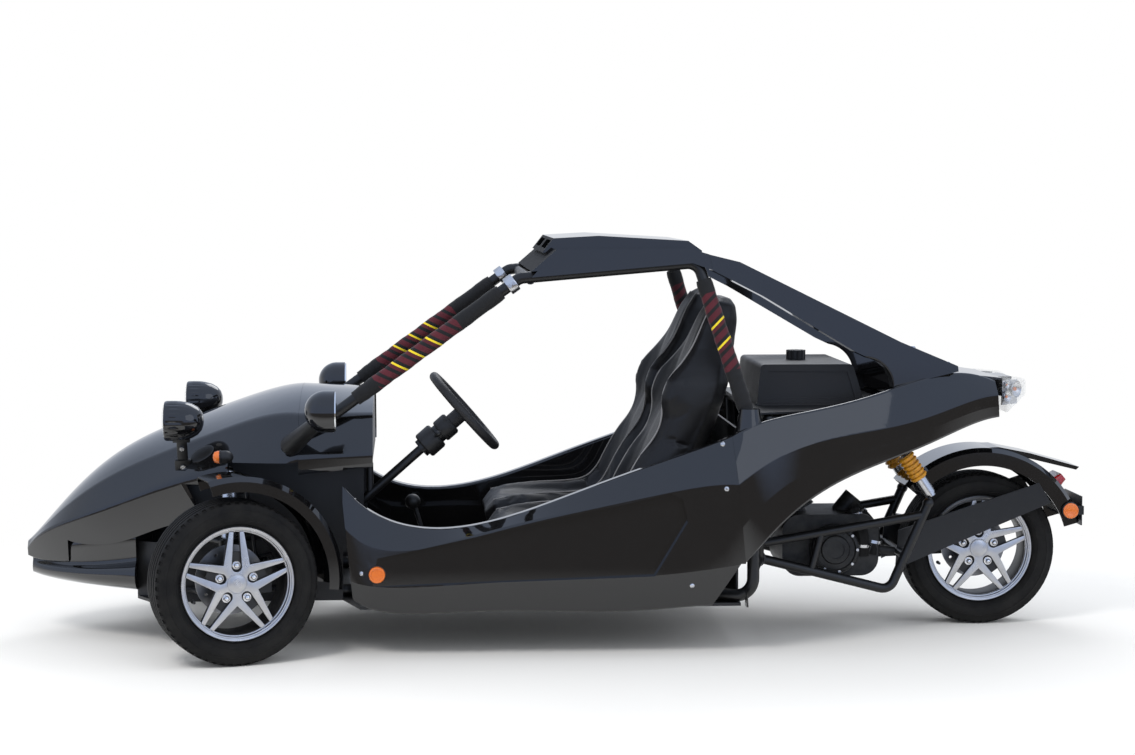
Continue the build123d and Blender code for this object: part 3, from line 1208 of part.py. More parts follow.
LAMP_SEAT = 50
lamp_x = REAR_AXLE_X + (REAR_GUARD_RADIUS + CLEARANCE) * sin(radians(LAMP_SEAT))
lamp_z = AXLE_Z + (REAR_GUARD_RADIUS + CLEARANCE) * cos(radians(LAMP_SEAT))
seat_plane = Plane(
    origin=(lamp_x, 0, lamp_z),
    x_dir=(0, 1, 0),
    z_dir=(sin(radians(LAMP_SEAT)), 0, cos(radians(LAMP_SEAT))),
)

with BuildPart() as rear_lamp:
    with BuildSketch(seat_plane):
        RectangleRounded(130, 40, 12)
    extrude(amount=30, taper=12)

PLATE_HOLE_RADIUS = 3.5
PLATE_HOLE_SPACING = 160
PLATE_X = REAR_AXLE_X + 344
PLATE_Z = (345, 445)

with BuildPart() as plate_bracket:
    with Locations((PLATE_X, 0, PLATE_Z[0])):
        Box(4, 220, PLATE_Z[1] - PLATE_Z[0], align=(Align.CENTER, Align.CENTER, Align.MIN))
    with Locations((PLATE_X, 0, PLATE_Z[0] + 26)):
        Box(14, 60, 4, align=(Align.MIN, Align.CENTER, Align.MIN))
    for side in (-1, 1):
        with Locations((PLATE_X, side * -REAR_REFLECTOR[1], REAR_REFLECTOR[2])):
            Box(60, REFLECTOR_ARM, 30, align=(Align.MAX, Align.MAX if side > 0 else Align.MIN, Align.CENTER))
        with Locations((PLATE_X, side * 115, REAR_REFLECTOR[2])):
            Box(4, 32, 30)
    with Locations(Plane(origin=(PLATE_X, 0, (PLATE_Z[0] + PLATE_Z[1]) / 2), x_dir=(0, 1, 0), z_dir=(1, 0, 0))):
        with GridLocations(PLATE_HOLE_SPACING, 1, 2, 1):
            Cylinder(PLATE_HOLE_RADIUS, 20, mode=Mode.SUBTRACT)


FIXED_PIECES = {
    "nose_cowl": nose_cowl,
    "scuttle": scuttle,
    "nose_lip": nose_lip,
    "side_panel_left": side_panel_left,
    "side_panel_right": side_panel_right,
    "rear_quarter_left": rear_quarter_left,
    "rear_quarter_right": rear_quarter_right,
    "floor_pan": floor_pan,
    "chassis_frame": chassis_frame,
    "rear_shelf": rear_shelf,
    "roll_cage": roll_cage,
    "cage_sleeves": cage_sleeves,
    "roof_panel": roof_panel,
    "buttress_left": buttress_left,
    "buttress_right": buttress_right,
    "tail_deck": tail_deck,
    "tail_lamps": tail_lamps,
    "fuel_tank": fuel_tank,
    "fuel_cap": fuel_cap,
    "seat_left": seat_left,
    "seat_right": seat_right,
    "seat_runners": seat_runners,
    "dashboard": dashboard,
    "steering_column": steering_column,
    "gear_lever": gear_lever,
    "pedals": pedals,
    "headlamp_housings": headlamp_housings,
    "headlamp_lenses": headlamp_lenses,
    "front_indicators": front_indicators,
    "mirror_housings": mirror_housings,
    "mirror_glasses": mirror_glasses,
    "amber_lenses": amber_lenses,
    "front_wishbones": front_wishbones,
    "front_shocks": front_shocks,
    "rack_housing": rack_housing,
    "steering_rack": steering_rack,
    "steering_wheel": steering_wheel,
    "swing_frame": swing_frame,
    "engine": engine,
    "exhaust": exhaust,
    "shock_bodies": shock_bodies,
    "shock_springs": shock_springs,
    "rear_mudguard": rear_mudguard,
    "guard_carriers": guard_carriers,
    "rear_lamp": rear_lamp,
    "plate_bracket": plate_bracket,
}

for name, piece in FIXED_PIECES.items():
    write_piece(piece.part, name)

for side, hand in ((-1, "left"), (1, "right")):
    write_piece(corner(knuckle.part, side), f"knuckle_{hand}")
    write_piece(corner(front_guard, side), f"front_mudguard_{hand}")
    for piece, word in ((wheel_tyre, "tyre"), (wheel_rim, "rim"), (wheel_disc, "disc")):
        write_piece(corner(FRONT_WHEEL * piece.part, side), f"{word}_{hand}")

for piece, word in ((wheel_tyre, "tyre"), (wheel_rim, "rim"), (wheel_disc, "disc")):
    write_piece(REAR_WHEEL * piece.part, f"{word}_rear")
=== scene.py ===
"""Looks of an open three-wheeled roadster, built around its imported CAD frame.

Metres, +Z up, +X to the rear, +Y to the vehicle's right, ground at Z = 0.
"""

from __future__ import annotations

import json
import logging
from collections.abc import Iterable, Sequence
from dataclasses import dataclass, field
from enum import Enum
from math import atan2, cos, radians, sin, tau

import bmesh
import bpy
from mathutils import Matrix, Vector

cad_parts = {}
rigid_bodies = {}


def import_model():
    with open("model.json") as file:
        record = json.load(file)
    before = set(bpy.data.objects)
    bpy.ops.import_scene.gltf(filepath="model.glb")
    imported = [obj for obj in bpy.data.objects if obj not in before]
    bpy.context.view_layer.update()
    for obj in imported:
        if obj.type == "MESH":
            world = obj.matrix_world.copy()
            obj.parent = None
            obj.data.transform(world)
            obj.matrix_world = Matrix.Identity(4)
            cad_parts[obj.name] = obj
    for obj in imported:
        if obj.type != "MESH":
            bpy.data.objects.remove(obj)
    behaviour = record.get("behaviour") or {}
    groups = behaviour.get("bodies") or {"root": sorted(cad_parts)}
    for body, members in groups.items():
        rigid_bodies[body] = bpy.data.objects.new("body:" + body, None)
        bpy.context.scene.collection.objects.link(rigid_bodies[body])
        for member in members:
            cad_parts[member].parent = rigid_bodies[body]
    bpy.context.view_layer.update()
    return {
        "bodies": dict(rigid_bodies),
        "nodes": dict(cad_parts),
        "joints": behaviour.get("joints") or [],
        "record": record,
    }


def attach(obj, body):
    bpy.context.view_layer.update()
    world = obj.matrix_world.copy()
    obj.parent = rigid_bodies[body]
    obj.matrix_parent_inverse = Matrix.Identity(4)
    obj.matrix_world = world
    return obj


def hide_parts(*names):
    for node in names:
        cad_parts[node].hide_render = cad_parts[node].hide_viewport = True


LOG = logging.getLogger("roadster")
SHARP_ANGLE = radians(34)

Colour = tuple[float, float, float]
Profile = Sequence[tuple[float, float]]
Stops = Sequence[tuple[float, Colour]]


class Hand(Enum):
    """The two sides of the vehicle, by the sign of their Y."""

    LEFT = -1
    RIGHT = 1

    @property
    def word(self) -> str:
        """The side's name as CAD nodes and bodies spell it."""
        return self.name.lower()


class Value:
    """A shader socket that takes part in arithmetic, adding one Math node for each operator."""

    def __init__(self, graph: Graph, socket: bpy.types.NodeSocket) -> None:
        """Wrap an output socket of a graph."""
        self.graph = graph
        self.socket = socket

    def math(self, operation: str, first: Value | float, second: Value | float = 0.0) -> Value:
        """Add a Math node.

        Args:
            operation: The Math node's operation.
            first: The first operand.
            second: The second operand, where the operation has one.

        Returns:
            The node's result.
        """
        return self.graph.node("ShaderNodeMath", {"operation": operation}, {0: first, 1: second})

    def __add__(self, other: Value | float) -> Value:
        """Sum."""
        return self.math("ADD", self, other)

    def __radd__(self, other: float) -> Value:
        """Sum with a number on the left."""
        return self.math("ADD", other, self)

    def __sub__(self, other: Value | float) -> Value:
        """Difference."""
        return self.math("SUBTRACT", self, other)

    def __rsub__(self, other: float) -> Value:
        """Difference with a number on the left."""
        return self.math("SUBTRACT", other, self)

    def __mul__(self, other: Value | float) -> Value:
        """Product."""
        return self.math("MULTIPLY", self, other)

    def __rmul__(self, other: float) -> Value:
        """Product with a number on the left."""
        return self.math("MULTIPLY", other, self)

    def __mod__(self, other: float) -> Value:
        """Floored remainder."""
        return self.math("FLOORED_MODULO", self, other)

    def __gt__(self, other: Value | float) -> Value:
        """One where greater, else zero."""
        return self.math("GREATER_THAN", self, other)

    def __lt__(self, other: Value | float) -> Value:
        """One where less, else zero."""
        return self.math("LESS_THAN", self, other)

    def wave(self) -> Value:
        """Sine of the value."""
        return self.math("SINE", self)

    def size(self) -> Value:
        """Absolute value."""
        return self.math("ABSOLUTE", self)

    def between(self, low: float, high: float) -> Value:
        """One where the value lies between two limits, else zero."""
        return (self > low) * (self < high)


class Graph:
    """A node tree of one material or world, with one method that makes any node."""

    def __init__(self, tree: bpy.types.NodeTree) -> None:
        """Start an empty tree."""
        self.tree = tree
        tree.nodes.clear()

    def node(
        self,
        kind: str,
        settings: dict[str, object] | None = None,
        inputs: dict[int | str, object] | None = None,
        output: int | str = 0,
    ) -> Value:
        """Add a node.

        Args:
            kind: The node's type name.
            settings: Attributes that are set first; "stops" fills a colour ramp.
            inputs: Numbers, colours or Values for its sockets.
            output: The socket to return.

        Returns:
            The chosen output.
        """
        made = self.tree.nodes.new(kind)
        for name, setting in (settings or {}).items():
            if name == "stops":
                self._fill_ramp(made.color_ramp, setting)
            else:
                setattr(made, name, setting)
        for key, source in (inputs or {}).items():
            if isinstance(source, Value):
                self.tree.links.new(source.socket, made.inputs[key])
            else:
                made.inputs[key].default_value = source
        return Value(self, made.outputs[output])

    @staticmethod
    def _fill_ramp(ramp: bpy.types.ColorRamp, stops: Stops) -> None:
        """Give a colour ramp its stops, in rising order."""
        while len(ramp.elements) < len(stops):
            ramp.elements.new(1.0)
        for element, (position, colour) in zip(ramp.elements, stops):
            element.position = position
            element.color = (*colour, 1.0)

    def place(self) -> Value:
        """The surface point in the part's frame."""
        return self.node("ShaderNodeTexCoord", output="Object")

    def axis(self, direction: Sequence[float], origin: Sequence[float] = (0, 0, 0)) -> Value:
        """Distance of the surface point along a direction, from an origin."""
        moved = self.node("ShaderNodeVectorMath", {"operation": "SUBTRACT"}, {0: self.place(), 1: origin})
        return self.node(
            "ShaderNodeVectorMath", {"operation": "DOT_PRODUCT"}, {0: moved, 1: direction}, "Value"
        )

    def noise(self, scale: float, detail: float = 3.0, roughness: float = 0.5) -> Value:
        """Smooth noise from 0 to 1."""
        return self.node(
            "ShaderNodeTexNoise",
            inputs={"Vector": self.place(), "Scale": scale, "Detail": detail, "Roughness": roughness},
        )

    def cells(self, scale: float, feature: str = "F1") -> Value:
        """Distance within Voronoi cells."""
        return self.node(
            "ShaderNodeTexVoronoi",
            {"feature": feature},
            {"Vector": self.place(), "Scale": scale},
            "Distance",
        )

    def ramp(self, value: Value, stops: Stops) -> Value:
        """Colour of a value on a ramp."""
        return self.node("ShaderNodeValToRGB", {"stops": stops}, {0: value})

    def mix(self, factor: Value, low: Value | Colour, high: Value | Colour) -> Value:
        """Colour between two colours."""
        ends = {6: low, 7: high}
        colours = {k: c if isinstance(c, Value) else (*c, 1.0) for k, c in ends.items()}
        return self.node("ShaderNodeMix", {"data_type": "RGBA"}, {0: factor, **colours}, 2)

    def bump(self, height: Value, depth: float, strength: float = 1.0) -> Value:
        """Normal of a height in metres of depth."""
        return self.node(
            "ShaderNodeBump", inputs={"Height": height, "Distance": depth, "Strength": strength}
        )

    def surface(self, constants: dict[str, object], varying: dict[str, Value]) -> None:
        """Add the main shader and the material's output.

        Args:
            constants: Values set on the shader's own sockets.
            varying: Values linked to its sockets.
        """
        shader = self.node("ShaderNodeBsdfPrincipled", None, {**constants, **varying})
        self.finish("ShaderNodeOutputMaterial", shader)

    def finish(self, kind: str, shader: Value) -> None:
        """Link a shader to the tree's output, made here."""
        made = self.tree.nodes.new(kind)
        self.tree.links.new(shader.socket, made.inputs["Surface"])


@dataclass(frozen=True)
class Finish:
    """A named surface finish and the record's slot that it stands for."""

    name: str
    slot: str

    def material(self) -> bpy.types.Material:
        """Return the finish's material, making it the first time."""
        title = f"{self.name}_finish"
        made = bpy.data.materials.get(title)
        if made is None:
            made = bpy.data.materials.new(title)
            made.use_nodes = True
            self.dress(Graph(made.node_tree))
        return made

    def dress(self, graph: Graph) -> None:
        """Build the finish's nodes."""
        raise NotImplementedError


@dataclass(frozen=True)
class GlossPaint(Finish):
    """Deep gloss paint with faint orange peel and a veil of dust."""

    name: str = "gloss_black_paint"
    slot: str = "gloss_black_paint"
    colour: Colour = (0.0030, 0.0032, 0.0042)
    dust: Colour = (0.0065, 0.0065, 0.0070)

    def dress(self, graph: Graph) -> None:
        """Build the paint's nodes."""
        veil = graph.noise(7.0, 5.0, 0.6)
        peel = graph.noise(240.0, 2.0) + graph.noise(34.0, 1.0) * 2.0
        graph.surface(
            {"IOR": 1.42, "Coat IOR": 1.5, "Coat Roughness": 0.02},
            {
                "Base Color": graph.mix(veil, self.colour, self.dust),
                "Coat Weight": 0.88 - veil * 0.12,
                "Roughness": veil * 0.05 + 0.02,
                "Normal": graph.bump(peel, 0.00008, 0.25),
            },
        )


@dataclass(frozen=True)
class FrameCoat(Finish):
    """Satin powder coat on steel tube, a little scuffed."""

    name: str = "black_frame_steel"
    slot: str = "black_frame_steel"
    colour: Colour = (0.0055, 0.0055, 0.0060)
    scuff: Colour = (0.020, 0.0195, 0.019)

    def dress(self, graph: Graph) -> None:
        """Build the powder coat's nodes."""
        wear = graph.noise(46.0, 6.0, 0.7)
        grain = graph.noise(900.0, 1.0)
        graph.surface(
            {"IOR": 1.5},
            {
                "Base Color": graph.ramp(
                    wear, ((0.0, self.colour), (0.62, self.colour), (0.8, self.scuff))
                ),
                "Roughness": wear * 0.25 + 0.24,
                "Normal": graph.bump(grain, 0.0002, 0.3),
            },
        )


@dataclass(frozen=True)
class MouldedPlastic(Finish):
    """Moulded plastic with a fine pebble grain."""

    name: str = "black_plastic"
    slot: str = "black_plastic"
    colour: Colour = (0.0070, 0.0070, 0.0076)
    faded: Colour = (0.014, 0.014, 0.0145)
    grain: float = 620.0

    def dress(self, graph: Graph) -> None:
        """Build the plastic's nodes."""
        fade = graph.noise(12.0, 4.0)
        pebble = graph.cells(self.grain)
        graph.surface(
            {"IOR": 1.48},
            {
                "Base Color": graph.mix(fade, self.colour, self.faded),
                "Roughness": fade * 0.2 + 0.34,
                "Normal": graph.bump(pebble, 0.0002, 0.45),
            },
        )


@dataclass(frozen=True)
class SleeveFabric(Finish):
    """Ribbed black sleeve cloth, with a printed band along part of its length."""

    name: str = "sleeve_fabric"
    slot: str = "sleeve_fabric"
    start: tuple[float, float, float] = (0.0, 0.0, 0.0)
    run: tuple[float, float, float] = (1.0, 0.0, 0.0)
    band: tuple[float, float] = (0.0, 0.0)
    colour: Colour = (0.0055, 0.0055, 0.0060)
    worn: Colour = (0.011, 0.011, 0.0115)
    crimson: Colour = (0.110, 0.012, 0.022)
    yellow: Colour = (0.80, 0.62, 0.02)
    pitch: float = 0.034

    def dress(self, graph: Graph) -> None:
        """Build the cloth and its band of plain slanted bars."""
        fade = graph.noise(30.0, 5.0, 0.65)
        along = graph.axis(self.run, self.start)
        across = Vector(self.run).cross(Vector((0, 1, 0))).normalized()
        slant = along + graph.axis(tuple(across), self.start) * 0.55
        ribs = (along * 2600.0).wave() * 0.5 + graph.noise(1400.0, 1.0)
        cloth = graph.mix(fade, self.colour, self.worn)
        low, high = self.band
        printed = along.between(low, high) * (slant % self.pitch < self.pitch * 0.62)
        bar = along.between(low + 0.05, high - 0.05) * ((slant % (2 * self.pitch)) < self.pitch * 0.22)
        coloured = graph.mix(printed, cloth, graph.mix(fade, self.crimson, (0.055, 0.007, 0.012)))
        graph.surface(
            {"IOR": 1.45, "Sheen Weight": 0.08, "Sheen Roughness": 0.5},
            {
                "Base Color": graph.mix(bar, coloured, self.yellow),
                "Roughness": fade * 0.15 + 0.68,
                "Normal": graph.bump(ribs, 0.0004, 0.5),
            },
        )


@dataclass(frozen=True)
class SeatHide(Finish):
    """Grained leathercloth with a soft shine."""

    name: str = "seat_leather"
    slot: str = "seat_leather"
    colour: Colour = (0.0046, 0.0046, 0.0053)
    rubbed: Colour = (0.0095, 0.0095, 0.0107)
    grain: float = 330.0

    def dress(self, graph: Graph) -> None:
        """Build the hide's nodes."""
        rub = graph.noise(9.0, 5.0, 0.6)
        pores = graph.cells(self.grain, "DISTANCE_TO_EDGE")
        crease = graph.noise(70.0, 4.0, 0.7)
        graph.surface(
            {"IOR": 1.40},
            {
                "Base Color": graph.mix(rub, self.colour, self.rubbed),
                "Roughness": rub * 0.20 + 0.34,
                "Normal": graph.bump(pores * 1.6 + crease * 0.5, 0.0006, 0.5),
            },
        )


@dataclass(frozen=True)
class TyreRubber(Finish):
    """Matt black rubber, greyed by road dust."""

    name: str = "tyre_rubber"
    slot: str = "tyre_rubber"
    colour: Colour = (0.0065, 0.0065, 0.0069)
    dusty: Colour = (0.0185, 0.0180, 0.0174)

    def dress(self, graph: Graph) -> None:
        """Build the rubber's nodes."""
        dust = graph.noise(16.0, 6.0, 0.65)
        fine = graph.noise(420.0, 3.0)
        graph.surface(
            {"IOR": 1.45, "Specular IOR Level": 0.16},
            {
                "Base Color": graph.ramp(dust, ((0.30, self.colour), (0.80, self.dusty))),
                "Roughness": dust * 0.25 + 0.52,
                "Normal": graph.bump(fine, 0.0004, 0.35),
            },
        )


@dataclass(frozen=True)
class TurnedAlloy(Finish):
    """Aluminium turned on a lathe about an axle, with fine rings of tool marks."""

    name: str = "machined_alloy"
    slot: str = "machined_alloy"
    centre: tuple[float, float, float] = (0.0, 0.0, 0.0)
    axle: tuple[float, float, float] = (0.0, 1.0, 0.0)
    colour: Colour = (0.60, 0.60, 0.61)
    dull: Colour = (0.42, 0.42, 0.43)

    def dress(self, graph: Graph) -> None:
        """Build the alloy's nodes."""
        moved = graph.node(
            "ShaderNodeVectorMath", {"operation": "SUBTRACT"}, {0: graph.place(), 1: self.centre}
        )
        side = graph.node(
            "ShaderNodeVectorMath", {"operation": "CROSS_PRODUCT"}, {0: moved, 1: self.axle}
        )
        radius = graph.node("ShaderNodeVectorMath", {"operation": "LENGTH"}, {0: side}, "Value")
        marks = (radius * 5200.0 + graph.noise(40.0, 2.0) * 9.0).wave()
        stain = graph.noise(28.0, 4.0)
        graph.surface(
            {"Metallic": 1.0},
            {
                "Base Color": graph.mix(stain, self.colour, self.dull),
                "Roughness": stain * 0.2 + 0.20,
                "Normal": graph.bump(marks, 0.00006, 0.4),
            },
        )


@dataclass(frozen=True)
class PlatedSteel(Finish):
    """Plated or stainless steel for fasteners and bright trim."""

    name: str = "bright_steel"
    slot: str = "bright_steel"
    colour: Colour = (0.62, 0.62, 0.63)
    spotted: Colour = (0.36, 0.35, 0.34)
    gloss: float = 0.14

    def dress(self, graph: Graph) -> None:
        """Build the plating's nodes."""
        spots = graph.noise(150.0, 5.0, 0.7)
        graph.surface(
            {"Metallic": 1.0},
            {
                "Base Color": graph.ramp(
                    spots, ((0.0, self.colour), (0.6, self.colour), (0.85, self.spotted))
                ),
                "Roughness": spots * 0.22 + self.gloss,
                "Normal": graph.bump(spots, 0.0001, 0.3),
            },
        )


@dataclass(frozen=True)
class CastMetal(Finish):
    """Sand-cast alloy, darkened by heat and oil."""

    name: str = "engine_alloy"
    slot: str = "engine_alloy"
    colour: Colour = (0.014, 0.014, 0.0145)
    bare: Colour = (0.050, 0.049, 0.047)

    def dress(self, graph: Graph) -> None:
        """Build the casting's nodes."""
        oil = graph.noise(18.0, 6.0, 0.65)
        sand = graph.noise(520.0, 2.0)
        graph.surface(
            {"Metallic": 0.55},
            {
                "Base Color": graph.ramp(oil, ((0.35, self.colour), (0.75, self.bare))),
                "Roughness": oil * 0.3 + 0.35,
                "Normal": graph.bump(sand, 0.0006, 0.5),
            },
        )


@dataclass(frozen=True)
class SpringPaint(Finish):
    """Bright enamel on a coil spring, with road grime."""

    name: str = "spring_paint"
    slot: str = "spring_paint"
    colour: Colour = (0.72, 0.33, 0.018)
    grime: Colour = (0.20, 0.09, 0.015)

    def dress(self, graph: Graph) -> None:
        """Build the enamel's nodes."""
        dirt = graph.noise(90.0, 5.0, 0.7)
        graph.surface(
            {"IOR": 1.5},
            {
                "Base Color": graph.ramp(dirt, ((0.45, self.colour), (0.80, self.grime))),
                "Roughness": dirt * 0.35 + 0.15,
                "Normal": graph.bump(dirt, 0.0002, 0.3),
            },
        )


@dataclass(frozen=True)
class PrismLens(Finish):
    """Coloured lens plastic with a moulded prism pattern."""

    name: str = "amber_lens"
    slot: str = "amber_lens"
    colour: Colour = (0.85, 0.20, 0.010)
    deep: Colour = (0.74, 0.155, 0.008)
    prism: float = 190.0

    def dress(self, graph: Graph) -> None:
        """Build the lens's nodes."""
        facets = graph.cells(self.prism)
        shade = graph.noise(40.0, 2.0)
        graph.surface(
            {"IOR": 1.5, "Transmission Weight": 0.18, "Coat Roughness": 0.04},
            {
                "Base Color": graph.mix(facets, self.colour, self.deep),
                "Roughness": shade * 0.10 + 0.08,
                "Coat Weight": shade * 0.3 + 0.6,
                "Normal": graph.bump(facets, 0.0012, 0.6),
            },
        )


@dataclass(frozen=True)
class ClearLens(Finish):
    """Clear lens plastic, faintly hazed."""

    name: str = "clear_lens"
    slot: str = "clear_lens"
    colour: Colour = (0.92, 0.94, 0.96)
    haze: Colour = (0.80, 0.82, 0.84)
    cover: float = 0.14

    def dress(self, graph: Graph) -> None:
        """Build the clear lens's nodes."""
        haze = graph.noise(22.0, 4.0)
        graph.surface(
            {"IOR": 1.45, "Alpha": self.cover},
            {
                "Base Color": graph.mix(haze, self.colour, self.haze),
                "Roughness": haze * 0.06 + 0.02,
            },
        )


@dataclass(frozen=True)
class SilveredGlass(Finish):
    """Mirror glass."""

    name: str = "mirror_glass"
    slot: str = "mirror_glass"
    colour: Colour = (0.86, 0.88, 0.89)
    smear: Colour = (0.70, 0.72, 0.74)

    def dress(self, graph: Graph) -> None:
        """Build the mirror's nodes."""
        smear = graph.noise(26.0, 4.0)
        graph.surface(
            {"Metallic": 1.0},
            {
                "Base Color": graph.mix(smear, self.colour, self.smear),
                "Roughness": smear * 0.05 + 0.01,
            },
        )


PAINT = GlossPaint()
STEEL = FrameCoat()
PLASTIC = MouldedPlastic()
HIDE = SeatHide()
GRIP_HIDE = SeatHide("grip_leather", "grip_leather", (0.011, 0.011, 0.012), (0.022, 0.022, 0.024), 520.0)
RUBBER = TyreRubber()
PLATED = PlatedSteel()
CHROME = PlatedSteel("polished_steel", "bright_steel", (0.78, 0.78, 0.79), (0.60, 0.60, 0.61), 0.05)
CAST = CastMetal()
SPRING = SpringPaint()
BRAKE = PlatedSteel("brake_steel", "bright_steel", (0.24, 0.24, 0.245), (0.13, 0.12, 0.11), 0.24)
AMBER = PrismLens()
RED = PrismLens("red_lens", "red_lens", (0.55, 0.012, 0.016), (0.24, 0.004, 0.006), 160.0)
CLEAR = ClearLens()
SILVERED = SilveredGlass()
SCOOP = TyreRubber("scoop_liner", "gloss_black_paint", (0.0045, 0.0045, 0.0048), (0.008, 0.008, 0.0084))
TANK = MouldedPlastic(
    "tank_shell", "gloss_black_paint", (0.010, 0.010, 0.011), (0.018, 0.018, 0.019), 700.0
)
PIPING = MouldedPlastic("seat_piping", "seat_leather", (0.24, 0.24, 0.25), (0.17, 0.17, 0.18), 900.0)
BLACK_BARREL = MouldedPlastic(
    "rim_black", "machined_alloy", (0.010, 0.010, 0.011), (0.022, 0.022, 0.023), 800.0
)


class Shape:
    """A mesh under construction with bmesh operators."""

    def __init__(self) -> None:
        """Start an empty mesh, with a mark on each face that has its coat."""
        self.bm = bmesh.new()
        self.coated = self.bm.faces.layers.int.new("coated")

    def spin(
        self,
        profile: Profile,
        centre: Vector,
        axle: Vector,
        steps: int,
        closed: bool = True,
    ) -> Shape:
        """Turn a profile once about an axle.

        Args:
            profile: Pairs of radius and distance along the axle.
            centre: A point on the axle, where the distance is zero.
            axle: The axle's direction.
            steps: Steps in the full turn.
            closed: Whether the profile joins its last point to its first.

        Returns:
            This shape.
        """
        along = axle.normalized()
        out = along.orthogonal().normalized()
        start = len(self.bm.verts)
        verts = [self.bm.verts.new(centre + out * r + along * d) for r, d in profile]
        edges = [self.bm.edges.new(pair) for pair in zip(verts, verts[1:])]
        if closed:
            edges.append(self.bm.edges.new((verts[-1], verts[0])))
        bmesh.ops.spin(
            self.bm,
            geom=verts + edges,
            cent=centre,
            axis=along,
            angle=tau,
            steps=steps,
            use_merge=True,
        )
        self.bm.verts.ensure_lookup_table()
        fresh = self.bm.verts[start:]
        bmesh.ops.remove_doubles(self.bm, verts=fresh, dist=1e-6)
        bmesh.ops.recalc_face_normals(self.bm, faces=self.bm.faces[:])
        return self

    def prism(self, outline: Profile, frame: Matrix, depth: float) -> list[bmesh.types.BMFace]:
        """Raise a flat outline into a block.

        Args:
            outline: Corners in the frame's own X and Y.
            frame: Where the outline lies.
            depth: The block's height along the frame's Z.

        Returns:
            The block's faces.
        """
        verts = [self.bm.verts.new(frame @ Vector((x, y, 0.0))) for x, y in outline]
        face = self.bm.faces.new(verts)
        raised = bmesh.ops.extrude_face_region(self.bm, geom=[face])["geom"]
        moved = [item for item in raised if isinstance(item, bmesh.types.BMVert)]
        shift = frame.to_3x3() @ Vector((0.0, 0.0, depth))
        bmesh.ops.translate(self.bm, verts=moved, vec=shift)
        verts += moved
        faces = list({item for vert in verts for item in vert.link_faces})
        bmesh.ops.recalc_face_normals(self.bm, faces=faces)
        return faces

    def block(self, size: Sequence[float], frame: Matrix) -> Shape:
        """Add a box of the given size, centred on a frame."""
        bmesh.ops.create_cube(self.bm, size=1.0, matrix=frame @ Matrix.Diagonal((*size, 1.0)))
        return self

    def peg(
        self, radius: float, length: float, frame: Matrix, sides: int = 24, tip: float | None = None
    ) -> Shape:
        """Add a round or polygonal peg that rises from a frame along its Z."""
        bmesh.ops.create_cone(
            self.bm,
            cap_ends=True,
            segments=sides,
            radius1=radius,
            radius2=radius if tip is None else tip,
            depth=length,
            matrix=frame @ Matrix.Translation((0.0, 0.0, length / 2)),
        )
        return self

    def ball(self, radius: float, frame: Matrix, sides: int = 20) -> Shape:
        """Add a ball centred on a frame, which may squash it."""
        bmesh.ops.create_uvsphere(
            self.bm, u_segments=sides, v_segments=sides // 2, radius=radius, matrix=frame
        )
        return self

    def hose(
        self,
        points: Sequence[Sequence[float]],
        radius: float,
        sides: int = 12,
        closed: bool = False,
        girth: Sequence[float] | None = None,
    ) -> Shape:
        """Add a round tube along points, as a curve gives it.

        Args:
            points: The curve's control points.
            radius: The tube's radius.
            sides: Sides around the tube.
            closed: Whether the tube joins its own start.
            girth: Shares of the radius at the points, where it varies.

        Returns:
            This shape.
        """
        curve = bpy.data.curves.new("route", "CURVE")
        curve.dimensions = "3D"
        curve.bevel_depth = radius
        curve.bevel_resolution = max(1, sides // 4 - 1)
        curve.use_fill_caps = not closed
        spline = curve.splines.new("NURBS")
        spline.points.add(len(points) - 1)
        for index, (knot, point) in enumerate(zip(spline.points, points)):
            knot.co = (*point, 1.0)
            knot.radius = girth[index] if girth else 1.0
        spline.use_cyclic_u = closed
        spline.use_endpoint_u = not closed
        spline.order_u = 3
        spline.resolution_u = 6
        holder = bpy.data.objects.new("route", curve)
        made = bpy.data.meshes.new_from_object(holder)
        self.bm.from_mesh(made)
        bpy.data.objects.remove(holder)
        bpy.data.curves.remove(curve)
        bpy.data.meshes.remove(made)
        return self

    def bevel(self, width: float, segments: int = 2, angle: float = radians(30)) -> Shape:
        """Round every edge that is sharper than an angle."""
        edges = [
            edge
            for edge in self.bm.edges
            if len(edge.link_faces) == 2 and edge.calc_face_angle(0.0) > angle
        ]
        bmesh.ops.bevel(
            self.bm,
            geom=edges,
            offset=width,
            affect="EDGES",
            segments=segments,
            profile=0.5,
            material=-1,
            clamp_overlap=True,
        )
        return self

    def coat(self, index: int) -> Shape:
        """Give the faces made since the last call a place in the piece's list of finishes."""
        for face in self.bm.faces:
            if not face[self.coated]:
                face.material_index = index
                face[self.coated] = 1
        return self

    def mirrored(self) -> Shape:
        """Add the mirror image across the vehicle's centre plane."""
        whole = self.bm.verts[:] + self.bm.edges[:] + self.bm.faces[:]
        copies = bmesh.ops.duplicate(self.bm, geom=whole)["geom"]
        verts = [item for item in copies if isinstance(item, bmesh.types.BMVert)]
        faces = [item for item in copies if isinstance(item, bmesh.types.BMFace)]
        bmesh.ops.scale(self.bm, verts=verts, vec=(1.0, -1.0, 1.0))
        bmesh.ops.reverse_faces(self.bm, faces=faces)
        return self

    def mesh(self, name: str, smooth: float = SHARP_ANGLE) -> bpy.types.Mesh:
        """Turn the shape into a mesh with smooth faces and sharp corners."""
        made = bpy.data.meshes.new(name)
        self.bm.faces.layers.int.remove(self.coated)
        self.bm.to_mesh(made)
        self.bm.free()
        for polygon in made.polygons:
            polygon.use_smooth = True
        made.set_sharp_from_angle(angle=smooth)
        return made


